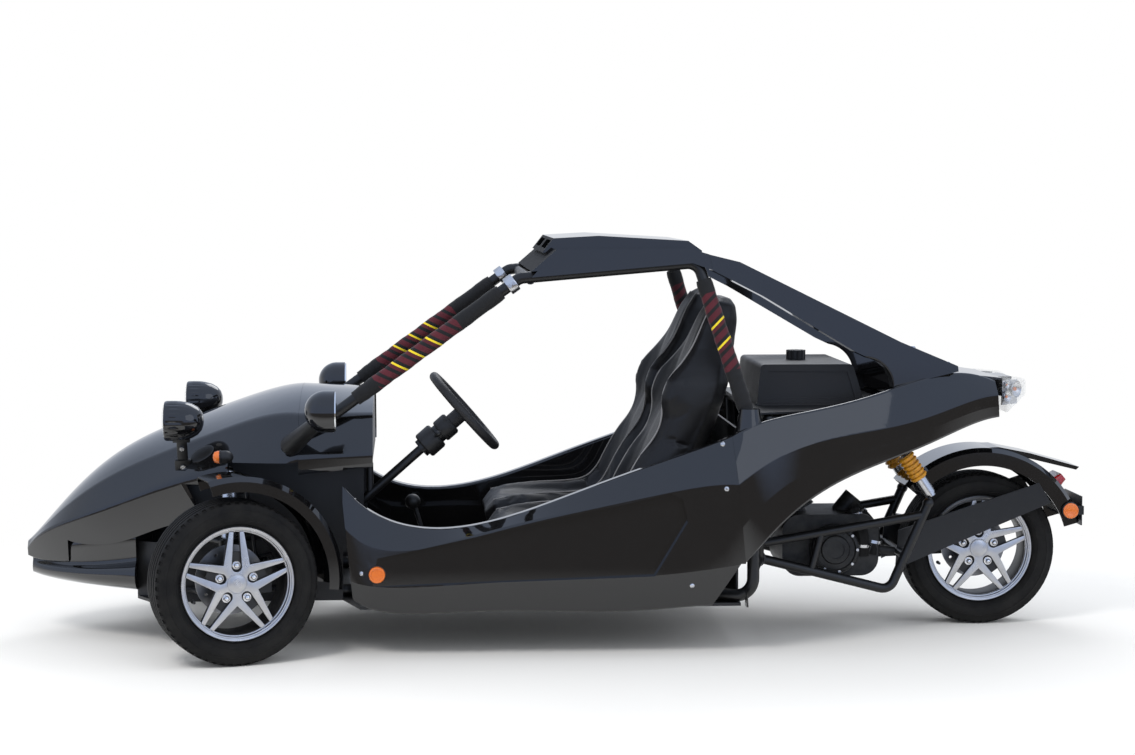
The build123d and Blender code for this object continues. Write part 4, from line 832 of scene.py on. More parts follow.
def frame_at(origin: Sequence[float], up: Sequence[float], side: Sequence[float] | None = None) -> Matrix:
    """Return a frame at an origin whose Z points along up.

    Args:
        origin: The frame's origin.
        up: The direction of its Z.
        side: A direction near its X, where the turn matters.

    Returns:
        The frame as a 4 by 4 matrix.
    """
    z = Vector(up).normalized()
    x = Vector(side) if side is not None else z.orthogonal()
    x = (x - z * x.dot(z)).normalized()
    y = z.cross(x)
    made = Matrix((x, y, z)).transposed().to_4x4()
    made.translation = Vector(origin)
    return made


def show(
    shape: Shape, name: str, finish: Finish | Sequence[Finish], body: str, stands_for: Iterable[str] = ()
) -> bpy.types.Object:
    """Turn a shape into a piece that rides on a body.

    Args:
        shape: The finished shape.
        name: The piece's name.
        finish: Its finish, or its finishes in the order of the shape's coats.
        body: The body that carries it.
        stands_for: CAD nodes that it replaces.

    Returns:
        The piece's object.
    """
    return place(bpy.data.objects.new(name, shape.mesh(name)), finish, body, stands_for)


def place(
    piece: bpy.types.Object, finish: Finish | Sequence[Finish], body: str, stands_for: Iterable[str] = ()
) -> bpy.types.Object:
    """Link a piece, give it a finish and a body, and log it.

    Args:
        piece: The new object.
        finish: Its finish, or its finishes in the order of the mesh's material slots.
        body: The body that carries it.
        stands_for: CAD nodes that it replaces.

    Returns:
        The same object.
    """
    bpy.context.scene.collection.objects.link(piece)
    coats = (finish,) if isinstance(finish, Finish) else tuple(finish)
    for coat in coats:
        piece.data.materials.append(coat.material())
    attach(piece, body)
    nodes = list(stands_for)
    if nodes:
        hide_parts(*nodes)
    LOG.info("%s: %s on %s", piece.name, coats[0].name, body)
    return piece


@dataclass
class Studio:
    """Pale floor, pale sky, soft lamps and the camera."""

    camera_at: tuple[float, float, float] = (-0.522, -8.381, 1.498)
    camera_turn: tuple[float, float, float] = (radians(85.62), 0.0, radians(-3.69))
    lens: float = 78.1
    floor_half: float = 6.0
    # the floor's solid part as half axes, and the share of them by which it has faded out
    floor_reach: tuple[float, float] = (2.5, 1.45)
    floor_fade: float = 1.7
    floor_colour: Colour = (0.94, 0.94, 0.94)
    # by height of the direction behind the object, and by half of it from straight down behind the camera
    far_sky: Stops = (
        (0.0, (0.72, 0.74, 0.78)),
        (0.22, (0.56, 0.61, 0.71)),
        (0.55, (0.50, 0.58, 0.74)),
        (1.0, (0.60, 0.71, 0.95)),
    )
    near_sky: Stops = (
        (0.0, (0.23, 0.21, 0.195)),
        (0.446, (0.23, 0.21, 0.195)),
        (0.463, (0.56, 0.69, 1.0)),
        (0.775, (0.60, 0.73, 1.0)),
        (1.0, (0.60, 0.71, 0.95)),
    )
    light_level: float = 0.9
    # name, position, aim, size, watts, colour
    lamps: tuple[tuple[str, Sequence[float], Sequence[float], float, float, Colour], ...] = (
        ("key", (-3.2, -4.6, 5.6), (0.0, 0.0, 0.5), 2.2, 190.0, (1.0, 0.97, 0.93)),
        ("fill", (3.6, -5.4, 3.6), (0.3, 0.0, 0.5), 5.0, 40.0, (0.93, 0.96, 1.0)),
        ("rim", (1.2, 4.6, 5.0), (0.0, 0.0, 0.6), 4.0, 110.0, (1.0, 1.0, 1.0)),
    )

    def build(self) -> None:
        """Make the stage, the lamps, the world and the camera."""
        self._floor()
        self._world()
        for row in self.lamps:
            self._lamp(*row)
        self._camera()
        bpy.context.scene.view_settings.view_transform = "Standard"

    def _floor(self) -> None:
        """Lay the pale floor."""
        shape = Shape()
        bmesh.ops.create_grid(shape.bm, x_segments=1, y_segments=1, size=self.floor_half)
        floor = bpy.data.objects.new("floor", shape.mesh("floor"))
        material = bpy.data.materials.new("floor")
        material.use_nodes = True
        graph = Graph(material.node_tree)
        tone = graph.noise(0.6, 2.0)
        pale = graph.mix(tone, self.floor_colour, tuple(c * 0.97 for c in self.floor_colour))
        reach = (1.0 / self.floor_reach[0], 1.0 / self.floor_reach[1], 0.0)
        spread = graph.node(
            "ShaderNodeVectorMath", {"operation": "MULTIPLY"}, {0: graph.place(), 1: reach}
        )
        share = graph.node("ShaderNodeVectorMath", {"operation": "LENGTH"}, {0: spread}, "Value")
        faded = graph.ramp(share * 0.5, ((0.5, (1, 1, 1)), (self.floor_fade * 0.5, (0, 0, 0))))
        graph.surface(
            {"Roughness": 0.9, "Specular IOR Level": 0.1}, {"Base Color": pale, "Alpha": faded}
        )
        floor.data.materials.append(material)
        bpy.context.scene.collection.objects.link(floor)

    def _world(self) -> None:
        """Make the pale sky that the camera, gloss and glass see, and the plain light level."""
        world = bpy.data.worlds.new("studio")
        bpy.context.scene.world = world
        world.use_nodes = True
        graph = Graph(world.node_tree)
        direction = graph.node("ShaderNodeTexCoord", output="Generated")
        height = graph.node("ShaderNodeSeparateXYZ", None, {0: direction}, "Z")
        depth = graph.node("ShaderNodeSeparateXYZ", None, {0: direction}, "Y")
        away = graph.node("ShaderNodeClamp", None, {0: depth * 2.0 + 0.5})
        near = graph.ramp(height * 0.5 + 0.5, self.near_sky)
        sky = graph.mix(away, near, graph.ramp(height, self.far_sky))
        camera = graph.node("ShaderNodeLightPath", output="Is Camera Ray")
        backdrop = graph.mix(camera, sky, (1.0, 1.0, 1.0))
        seen = graph.node("ShaderNodeBackground", None, {"Color": backdrop, "Strength": 1.0})
        light = graph.node(
            "ShaderNodeBackground", None, {"Color": (0.96, 0.98, 1.0, 1.0), "Strength": self.light_level}
        )
        gloss = graph.node("ShaderNodeLightPath", output="Is Glossy Ray")
        through = graph.node("ShaderNodeLightPath", output="Is Transmission Ray")
        factor = camera.math("MAXIMUM", camera, gloss.math("MAXIMUM", gloss, through))
        mixed = graph.node("ShaderNodeMixShader", None, {0: factor, 1: light, 2: seen})
        graph.finish("ShaderNodeOutputWorld", mixed)

    @staticmethod
    def _lamp(
        name: str, spot: Sequence[float], aim: Sequence[float], size: float, watts: float, colour: Colour
    ) -> None:
        """Hang one soft lamp."""
        lamp = bpy.data.lights.new(name, "AREA")
        lamp.shape = "DISK"
        lamp.size = size
        lamp.energy = watts
        lamp.color = colour
        holder = bpy.data.objects.new(name, lamp)
        holder.location = spot
        holder.rotation_euler = (Vector(aim) - Vector(spot)).to_track_quat("-Z", "Y").to_euler()
        holder.visible_glossy = name != "key"
        bpy.context.scene.collection.objects.link(holder)

    def _camera(self) -> None:
        """Stand the camera where the photograph was taken."""
        camera = bpy.data.cameras.new("camera")
        camera.lens = self.lens
        camera.sensor_width = 36.0
        camera.clip_end = 200.0
        holder = bpy.data.objects.new("camera", camera)
        holder.location = self.camera_at
        holder.rotation_euler = self.camera_turn
        bpy.context.scene.collection.objects.link(holder)
        bpy.context.scene.camera = holder


@dataclass
class SolidDress:
    """Finishes for the CAD solids that stay in view."""

    nodes: dict[str, bpy.types.Object]
    scoop_facing: float = -0.35
    rows: dict[Finish, tuple[str, ...]] = field(
        default_factory=lambda: {
            PAINT: (
                "nose_cowl", "scuttle", "nose_lip", "side_panel_left", "side_panel_right",
                "rear_quarter_left", "rear_quarter_right", "roof_panel", "buttress_left", "buttress_right",
                "tail_deck", "headlamp_housings", "mirror_housings", "front_mudguard_left",
                "front_mudguard_right", "rear_mudguard",
            ),
            STEEL: (
                "chassis_frame", "roll_cage", "rear_shelf", "swing_frame", "guard_carriers",
                "plate_bracket", "front_wishbones", "knuckle_left", "knuckle_right", "pedals",
                "seat_runners", "steering_column", "rack_housing", "steering_rack",
            ),
            PLASTIC: ("floor_pan", "dashboard", "fuel_cap", "front_indicators", "gear_lever"),
            TANK: ("fuel_tank",),
            CAST: ("engine", "exhaust"),
            PLATED: ("shock_bodies", "front_shocks"),
            BRAKE: ("disc_left", "disc_right", "disc_rear"),
            AMBER: ("amber_lenses",),
            RED: ("rear_lamp",),
            CLEAR: ("headlamp_lenses", "tail_lamps"),
            SILVERED: ("mirror_glasses",),
            HIDE: ("seat_left", "seat_right"),
            GRIP_HIDE: ("steering_wheel",),
            RUBBER: ("tyre_left", "tyre_right", "tyre_rear"),
            SPRING: ("shock_springs",),
        }
    )

    def build(self) -> None:
        """Give each solid its finish."""
        for finish, names in self.rows.items():
            for name in names:
                solid = self.nodes.get(name)
                if solid is None:
                    continue
                solid.data.materials.clear()
                solid.data.materials.append(finish.material())
        self._darken_scoop(self.nodes["roof_panel"])
        LOG.info("dressed %d solids", sum(len(names) for names in self.rows.values()))

    def _darken_scoop(self, roof: bpy.types.Object) -> None:
        """Give the roof's forward faces a matt black liner."""
        roof.data.materials.append(SCOOP.material())
        for face in roof.data.polygons:
            if face.normal.x < self.scoop_facing:
                face.material_index = 1


@dataclass
class Wheel:
    """A road wheel: grooved tyre, forked star rim in a stepped lip, nuts, plain cap and valve."""

    word: str
    centre: tuple[float, float, float]
    outward: tuple[float, float, float]
    arms: int = 5
    steps: int = 120
    face: float = 0.0565
    star_depth: float = 0.020
    nut_circle: float = 0.05715
    valve_circle: float = 0.147
    valve_turn: float = radians(111)
    # radius and distance from the wheel's middle plane, bead to tread
    tyre_half: Profile = (
        (0.1700, 0.0605), (0.1860, 0.0605), (0.1895, 0.0665), (0.1960, 0.0760), (0.2000, 0.0785),
        (0.2012, 0.0803), (0.2040, 0.0806), (0.2055, 0.0796), (0.2180, 0.0822), (0.2300, 0.0808),
        (0.2312, 0.0820), (0.2332, 0.0814), (0.2345, 0.0796), (0.2440, 0.0752), (0.2520, 0.0720),
        (0.2560, 0.0692), (0.2605, 0.0585), (0.2608, 0.0400), (0.2550, 0.0392), (0.2550, 0.0328),
        (0.2613, 0.0320), (0.2617, 0.0160), (0.2558, 0.0152), (0.2558, 0.0088), (0.2619, 0.0080),
    )
    lip: Profile = (
        (0.1820, 0.0607), (0.1820, 0.0665), (0.1805, 0.0685), (0.1760, 0.0685), (0.1745, 0.0675),
        (0.1735, 0.0640), (0.1695, 0.0635), (0.1680, 0.0605), (0.1680, 0.0540), (0.1645, 0.0535),
        (0.1630, 0.0500), (0.1630, 0.0450), (0.1698, 0.0450), (0.1698, 0.0607),
    )
    barrel: Profile = (
        (0.1630, 0.0450), (0.1698, 0.0450), (0.1698, -0.0607), (0.1820, -0.0607), (0.1820, -0.0685),
        (0.1660, -0.0685), (0.1615, -0.0600), (0.1615, 0.0400),
    )
    hub: Profile = (
        (0.0240, 0.0375), (0.0450, 0.0375), (0.0420, 0.0300), (0.0420, -0.0355), (0.0240, -0.0355),
    )
    cap: Profile = (
        (0.0, 0.0618), (0.0120, 0.0616), (0.0235, 0.0608), (0.0262, 0.0596), (0.0300, 0.0598),
        (0.0315, 0.0585),
        (0.0315, 0.0505), (0.0, 0.0505),
    )
    # half of one arm: along its lug's radius and across it
    half_arm: Profile = (
        (0.0, 0.0), (0.0362, 0.0), (0.0375, 0.0070), (0.0420, 0.0125), (0.0500, 0.0166), (0.1650, 0.0090),
        (0.1650, 0.0240), (0.0582, 0.0423),
    )

    @property
    def frame(self) -> Matrix:
        """The wheel's own frame, X up and Z outward."""
        return frame_at(self.centre, self.outward, (0, 0, 1))

    def build(self) -> None:
        """Make the tyre and the rim."""
        body = f"wheel_{self.word}"
        show(self.tyre(), f"road_tyre_{self.word}", RUBBER, body, (f"tyre_{self.word}",))
        alloy = TurnedAlloy(f"machined_alloy_{self.word}", "machined_alloy", self.centre, self.outward)
        coats = (alloy, BLACK_BARREL, CHROME)
        show(self.rim(), f"star_rim_{self.word}", coats, body, (f"rim_{self.word}",))

    def tyre(self) -> Shape:
        """The tyre, with its tread grooves and its shoulder cuts."""
        profile = list(self.tyre_half) + [(r, -d) for r, d in reversed(self.tyre_half)]
        shape = Shape().spin(profile, Vector(self.centre), Vector(self.outward), self.steps)
        back = self.frame.inverted()
        cuts = []
        for face in shape.bm.faces:
            spot = back @ face.calc_center_median()
            sector = int((atan2(spot.y, spot.x) / tau + 0.5) * self.steps)
            if 0.052 < abs(spot.z) < 0.0725 and spot.xy.length > 0.25 and sector % 2 == 0:
                cuts.append(face)
        bmesh.ops.inset_region(shape.bm, faces=cuts, thickness=0.0015, depth=-0.004)
        return shape

    def rim(self) -> Shape:
        """The star, its lip and barrel, the pocket floors, nuts, cap and valve."""
        shape = Shape()
        centre = Vector(self.centre)
        out = Vector(self.outward).normalized()
        self._star(shape)
        for face in shape.bm.faces:
            face.material_index = 0 if face.normal.dot(out) > 0.5 else 1
            face[shape.coated] = 1
        shape.spin(self.lip, centre, out, self.steps).coat(0)
        shape.spin(self.cap, centre, out, 48).coat(0)
        shape.spin(self.barrel, centre, out, self.steps)
        shape.spin(self.hub, centre, out, 40)
        for index in range(self.arms):
            lug = self.frame @ Matrix.Rotation(index * tau / self.arms, 4, "Z")
            floor = lug @ Matrix.Translation((0.0, 0.0, self.face - 0.018))
            shape.prism(((0.030, -0.019), (0.100, -0.015), (0.100, 0.015), (0.030, 0.019)), floor, 0.006)
        shape.coat(1)
        for index in range(self.arms):
            lug = self.frame @ Matrix.Rotation(index * tau / self.arms, 4, "Z")
            seat = lug @ Matrix.Translation((self.nut_circle, 0.0, self.face - 0.012))
            shape.peg(0.0135, 0.004, seat, 24)
            shape.peg(0.0108, 0.011, seat, 6)
            shape.ball(0.0092, seat @ Matrix.Translation((0, 0, 0.010)), 16)
        shape.coat(2)
        turn = self.frame @ Matrix.Rotation(self.valve_turn, 4, "Z")
        stem = turn @ Matrix.Translation((self.valve_circle, 0.0, 0.028))
        shape.peg(0.0058, 0.008, stem, 16)
        shape.peg(0.0036, 0.024, stem, 16)
        shape.peg(0.0048, 0.010, stem @ Matrix.Translation((0, 0, 0.018)), 12)
        shape.coat(1)
        return shape

    def _star(self, shape: Shape) -> None:
        """Add the forked star, merged from its mirrored half arms."""
        low = self.frame @ Matrix.Translation((0.0, 0.0, self.face - self.star_depth))
        for index in range(self.arms):
            turned = low @ Matrix.Rotation(index * tau / self.arms, 4, "Z")
            for flip in (1.0, -1.0):
                corners = [turned @ Vector((u, v * flip, 0.0)) for u, v in self.half_arm]
                shape.bm.faces.new([shape.bm.verts.new(corner) for corner in corners])
        bmesh.ops.remove_doubles(shape.bm, verts=shape.bm.verts[:], dist=0.0006)
        bmesh.ops.recalc_face_normals(shape.bm, faces=shape.bm.faces[:])
        raised = bmesh.ops.extrude_face_region(shape.bm, geom=shape.bm.faces[:])["geom"]
        moved = [item for item in raised if isinstance(item, bmesh.types.BMVert)]
        bmesh.ops.translate(shape.bm, verts=moved, vec=Vector(self.outward).normalized() * self.star_depth)
        bmesh.ops.recalc_face_normals(shape.bm, faces=shape.bm.faces[:])
        shape.bevel(0.0018, 3)


Station = tuple[tuple[float, float], tuple[float, float], tuple[float, float], float, float]


@dataclass
class BucketSeats:
    """Two padded bucket seats, one swollen by cloth pressure and the other its mirror image."""

    middle: float = 0.285
    voxel: float = 0.006
    pressure: float = 4.0
    frames: int = 20
    swell: float = 0.009
    crown: float = 0.006
    piping_radius: float = 0.0030
    # sitting surface, bolster crest and back as (x, z), then half the width and half the channel
    stations: tuple[Station, ...] = (
        ((-0.268, 0.372), (-0.272, 0.385), (-0.245, 0.290), 0.165, 0.105),
        ((-0.235, 0.404), (-0.238, 0.428), (-0.215, 0.250), 0.196, 0.120),
        ((-0.120, 0.398), (-0.120, 0.442), (-0.115, 0.240), 0.208, 0.128),
        ((0.030, 0.384), (0.030, 0.446), (0.030, 0.240), 0.210, 0.130),
        ((0.130, 0.386), (0.110, 0.462), (0.190, 0.245), 0.210, 0.130),
        ((0.190, 0.430), (0.152, 0.500), (0.300, 0.300), 0.209, 0.130),
        ((0.222, 0.510), (0.182, 0.556), (0.352, 0.400), 0.207, 0.128),
        ((0.252, 0.600), (0.228, 0.630), (0.398, 0.530), 0.203, 0.125),
        ((0.290, 0.690), (0.280, 0.698), (0.436, 0.650), 0.198, 0.125),
        ((0.325, 0.765), (0.303, 0.762), (0.468, 0.740), 0.202, 0.128),
        ((0.350, 0.830), (0.296, 0.828), (0.492, 0.810), 0.206, 0.130),
        ((0.372, 0.890), (0.318, 0.884), (0.510, 0.870), 0.200, 0.125),
        ((0.392, 0.945), (0.362, 0.932), (0.524, 0.925), 0.176, 0.110),
        ((0.412, 0.995), (0.404, 0.985), (0.534, 0.975), 0.142, 0.085),
        ((0.432, 1.045), (0.430, 1.040), (0.542, 1.030), 0.124, 0.070),
        ((0.455, 1.100), (0.455, 1.098), (0.550, 1.085), 0.118, 0.065),
        ((0.480, 1.140), (0.480, 1.140), (0.548, 1.125), 0.104, 0.055),
        ((0.505, 1.157), (0.505, 1.157), (0.535, 1.148), 0.070, 0.035),
    )

    def build(self) -> None:
        """Make both seats and their piping."""
        pad = self._swollen(self._shell())
        for hand in Hand:
            mesh = pad.copy()
            if hand is Hand.RIGHT:
                mesh.transform(Matrix.Diagonal((1.0, -1.0, 1.0, 1.0)))
                mesh.flip_normals()
            mesh.name = f"bucket_seat_{hand.word}"
            piece = place(bpy.data.objects.new(mesh.name, mesh), HIDE, "chassis", (f"seat_{hand.word}",))
            smoother = piece.modifiers.new("smooth", "SUBSURF")
            smoother.levels = 1
            smoother.render_levels = 1
        show(self._piping(pad), "seat_piping", PIPING, "chassis")

    def _ring(self, station: Station) -> list[Vector]:
        """Sixteen points round the seat at one station, on the left side."""
        seat, crest, back, half, channel = station
        c, b, k = (Vector((x, 0.0, z)) for x, z in (seat, crest, back))
        rise = (c - k).normalized() * self.crown
        side = (
            (half, c.lerp(k, 0.75)),
            (half, b.lerp(k, 0.35)),
            (half * 0.97, b.lerp(k, 0.08)),
            (half * 0.45 + channel * 0.55, b),
            (channel * 1.02, b.lerp(c, 0.6)),
            (channel * 0.7, c),
        )
        left = [point - Vector((0.0, width, 0.0)) for width, point in side]
        right = [point + Vector((0.0, width, 0.0)) for width, point in reversed(side)]
        rear = [k + Vector((0.0, half * share, 0.0)) for share in (0.8, 0.0, -0.8)]
        return [point - Vector((0.0, self.middle, 0.0)) for point in left + [c + rise] + right + rear]

    def _shell(self) -> bpy.types.Object:
        """The closed seat shell, bridged from ring to ring and remeshed."""
        bm = bmesh.new()
        rings = [[bm.verts.new(point) for point in self._ring(row)] for row in self.stations]
        hoops = [[bm.edges.new(pair) for pair in zip(ring, ring[1:] + ring[:1])] for ring in rings]
        for near, far in zip(hoops, hoops[1:]):
            bmesh.ops.bridge_loops(bm, edges=near + far)
        for ring in (rings[0], rings[-1]):
            bm.faces.new(ring)
        bmesh.ops.recalc_face_normals(bm, faces=bm.faces[:])
        mesh = bpy.data.meshes.new("seat_shell")
        bm.to_mesh(mesh)
        bm.free()
        shell = bpy.data.objects.new("seat_shell", mesh)
        bpy.context.scene.collection.objects.link(shell)
        remesh = shell.modifiers.new("voxel", "REMESH")
        remesh.mode = "VOXEL"
        remesh.voxel_size = self.voxel
        rounder = shell.modifiers.new("round", "SMOOTH")
        rounder.factor = 0.5
        rounder.iterations = 6
        return shell

    @staticmethod
    def _baked(piece: bpy.types.Object) -> bpy.types.Mesh:
        """The piece's mesh with its modifiers applied."""
        graph = bpy.context.evaluated_depsgraph_get()
        return bpy.data.meshes.new_from_object(piece.evaluated_get(graph))

    def _swollen(self, shell: bpy.types.Object) -> bpy.types.Mesh:
        """Blow the shell up a little as cloth, and cap how far each point moves."""
        start = self._baked(shell)
        shell.modifiers.clear()
        shell.data = start
        calm = start.copy()
        cloth = shell.modifiers.new("pad", "CLOTH")
        cloth.settings.use_pressure = True
        cloth.settings.uniform_pressure_force = self.pressure
        cloth.settings.effector_weights.gravity = 0.0
        scene = bpy.context.scene
        for step in range(1, self.frames + 1):
            scene.frame_set(step)
        blown = self._baked(shell)
        for vert, old in zip(blown.vertices, calm.vertices):
            move = vert.co - old.co
            if move.length > self.swell:
                vert.co = old.co + move.normalized() * self.swell
        scene.frame_set(1)
        bpy.data.objects.remove(shell)
        for polygon in blown.polygons:
            polygon.use_smooth = True
        LOG.info("seat pad: %d faces", len(blown.polygons))
        return blown

    def _piping(self, pad: bpy.types.Mesh) -> Shape:
        """Piping along both bolster crests, laid on the swollen pad."""
        holder = bpy.data.objects.new("probe", pad)
        bpy.context.scene.collection.objects.link(holder)
        bpy.context.view_layer.update()
        shape = Shape()
        for flip in (-1.0, 1.0):
            points = []
            for _seat, crest, _back, half, channel in self.stations[1:-1]:
                across = (half * 0.45 + channel * 0.55) * flip - self.middle
                top = Vector((crest[0], across, crest[1]))
                found, spot, normal, _index = holder.closest_point_on_mesh(top)
                if found:
                    points.append(spot + normal * self.piping_radius * 0.3)
            shape.hose(points, self.piping_radius, 8)
        bpy.data.objects.remove(holder)
        return shape.mirrored()


@dataclass
class CageSleeve:
    """A cloth sleeve round a cage tube, a little gathered along its length."""

    word: str
    top: tuple[float, float, float]
    foot: tuple[float, float, float]
    span: tuple[float, float]
    band: tuple[float, float]
    radius: float = 0.0275
    folds: int = 34

    def build(self, stands_for: Iterable[str] = ()) -> None:
        """Make the sleeve."""
        start = Vector(self.top)
        run = (Vector(self.foot) - start).normalized()
        low, high = self.span
        points = []
        girth = []
        for index in range(self.folds + 1):
            share = index / self.folds
            points.append(start.lerp(Vector(self.foot), low + (high - low) * share))
            gather = 0.05 * sin(index * 2.6) * (0.35 + 0.65 * share * share)
            ends = 0.93 if index in (0, self.folds) else 1.0
            girth.append((0.955 + gather + 0.03 * sin(index * 0.9)) * ends)
        cloth = SleeveFabric(f"sleeve_fabric_{self.word}", "sleeve_fabric", self.top, tuple(run), self.band)
        shape = Shape().hose(points, self.radius, 24, girth=girth)
        show(shape, f"sleeve_{self.word}", cloth, "chassis", stands_for)


@dataclass
class Headlamps:
    """Two bullet headlamps with fluted shells, reflectors, domed lenses and strap brackets."""

    front: tuple[float, float, float] = (-1.3063, -0.410, 0.752)
    steps: int = 72
    flute: float = 0.965
    flute_end: float = 0.050
    shell: Profile = (
        (0.0540, 0.0060), (0.0560, -0.0020), (0.0620, -0.0025), (0.0642, 0.0010), (0.0648, 0.0060),
        (0.0650, 0.0200), (0.0648, 0.0350), (0.0640, 0.0480), (0.0612, 0.0650), (0.0555, 0.0850),
        (0.0450, 0.1030), (0.0300, 0.1160), (0.0140, 0.1215), (0.0, 0.1228),
    )
    bowl: Profile = ((0.0555, 0.0010), (0.0520, 0.0140), (0.0400, 0.0300), (0.0200, 0.0400), (0.0, 0.0420))
    lens: Profile = (
        (0.0558, 0.0), (0.0530, -0.0060), (0.0400, -0.0098), (0.0200, -0.0113), (0.0, -0.0116),
        (0.0, -0.0086),
        (0.0200, -0.0083), (0.0390, -0.0068), (0.0510, -0.0032), (0.0535, 0.0010),
    )
    strap: tuple[float, float] = (0.034, 0.008)
    post_top: tuple[float, float, float] = (-1.256, -0.410, 0.692)
    post_foot: tuple[float, float, float] = (-1.256, -0.352, 0.588)

    def build(self) -> None:
        """Make both lamps."""
        coats = (PAINT, CHROME, STEEL, PLATED)
        show(self._shells(), "lamp_shells", coats, "chassis", ("headlamp_housings",))
        lens = Shape().spin(self.lens, Vector(self.front), Vector((1, 0, 0)), 48).mirrored()
        show(lens, "lamp_lenses", CLEAR, "chassis", ("headlamp_lenses",))

    def _shells(self) -> Shape:
        """Shells with flutes, reflector bowls, bulbs and brackets."""
        front = Vector(self.front)
        axle = Vector((1, 0, 0))
        shape = Shape().spin(self.shell, front, axle, self.steps, closed=False)
        hollow = []
        for vert in shape.bm.verts:
            spot = vert.co - front
            sector = round(atan2(spot.z, spot.y) / tau * self.steps)
            if 0.005 < spot.x < self.flute_end and sector % 3 == 0:
                hollow.append(vert)
        bmesh.ops.scale(
            shape.bm, verts=hollow, vec=(1.0, self.flute, self.flute), space=Matrix.Translation(-front)
        )
        shape.coat(0)
        shape.spin(self.bowl, front, axle, 48, closed=False)
        shape.ball(0.011, frame_at(front + axle * 0.024, axle), 16)
        shape.coat(1)
        top, foot = Vector(self.post_top), Vector(self.post_foot)
        leg = (foot - top).normalized()
        plate = Shape()
        strap = (self.strap[0], self.strap[1], (foot - top).length + 0.02)
        plate.block(strap, frame_at((top + foot) / 2, leg, axle))
        outward = leg.cross(axle)
        foot_frame = frame_at(foot - leg * 0.018, leg, axle)
        plate.block((0.052, 0.016, 0.044), foot_frame)
        plate.block((0.056, 0.030, 0.012), frame_at(top - leg * 0.002, leg, axle))
        plate.bevel(0.003, 2)
        piece = plate.mesh("plate")
        shape.bm.from_mesh(piece)
        bpy.data.meshes.remove(piece)
        shape.coat(2)
        side = outward if outward.y < 0 else -outward
        for drop in (0.030, (foot - top).length - 0.018):
            shape.peg(0.0085, 0.014, frame_at(top + leg * drop, side), 6)
        shape.coat(3)
        return shape.mirrored()


@dataclass
class AmberMarkers:
    """Front indicators, side reflectors and rear reflectors, each a moulded lens in a dark rim."""

    # centre on the left side, direction, radius, height, and whether the lens is a dome
    rows: tuple[tuple[Sequence[float], Sequence[float], float, float, bool], ...] = (
        ((-1.1253, -0.478, 0.641), (-1, 0, 0), 0.0208, 0.0255, True),
        ((-0.627, -0.6063, 0.277), (0, -1, 0), 0.0265, 0.0220, False),
        ((1.737, -0.1306, 0.399), (0, -1, 0), 0.0265, 0.0100, False),
    )

    def build(self) -> None:
        """Make the lenses and their rims on both sides."""
        shape = Shape()
        for centre, way, radius, height, domed in self.rows:
            crown = ((0.0, 1.0), (0.48, 0.97), (0.80, 0.80), (0.97, 0.45)) if domed else (
                (0.0, 0.90), (0.70, 0.90), (0.76, 1.0), (0.92, 0.98), (0.99, 0.85),
            )
            lens = [(r * radius, h * height) for r, h in crown] + [(radius, 0.0), (0.0, 0.0)]
            shape.spin(lens, Vector(centre), Vector(way), 40)
        shape.coat(0)
        for centre, way, radius, height, domed in self.rows:
            depth = height * (0.18 if domed else 0.55)
            rim = [(r * radius, h) for r, h in ((1.0, 0.0), (1.0, depth), (1.09, depth * 0.8), (1.12, 0.0))]
            shape.spin(rim, Vector(centre), Vector(way), 40)
        shape.coat(1)
        show(shape.mirrored(), "amber_markers", (AMBER, PLASTIC), "chassis", ("amber_lenses",))


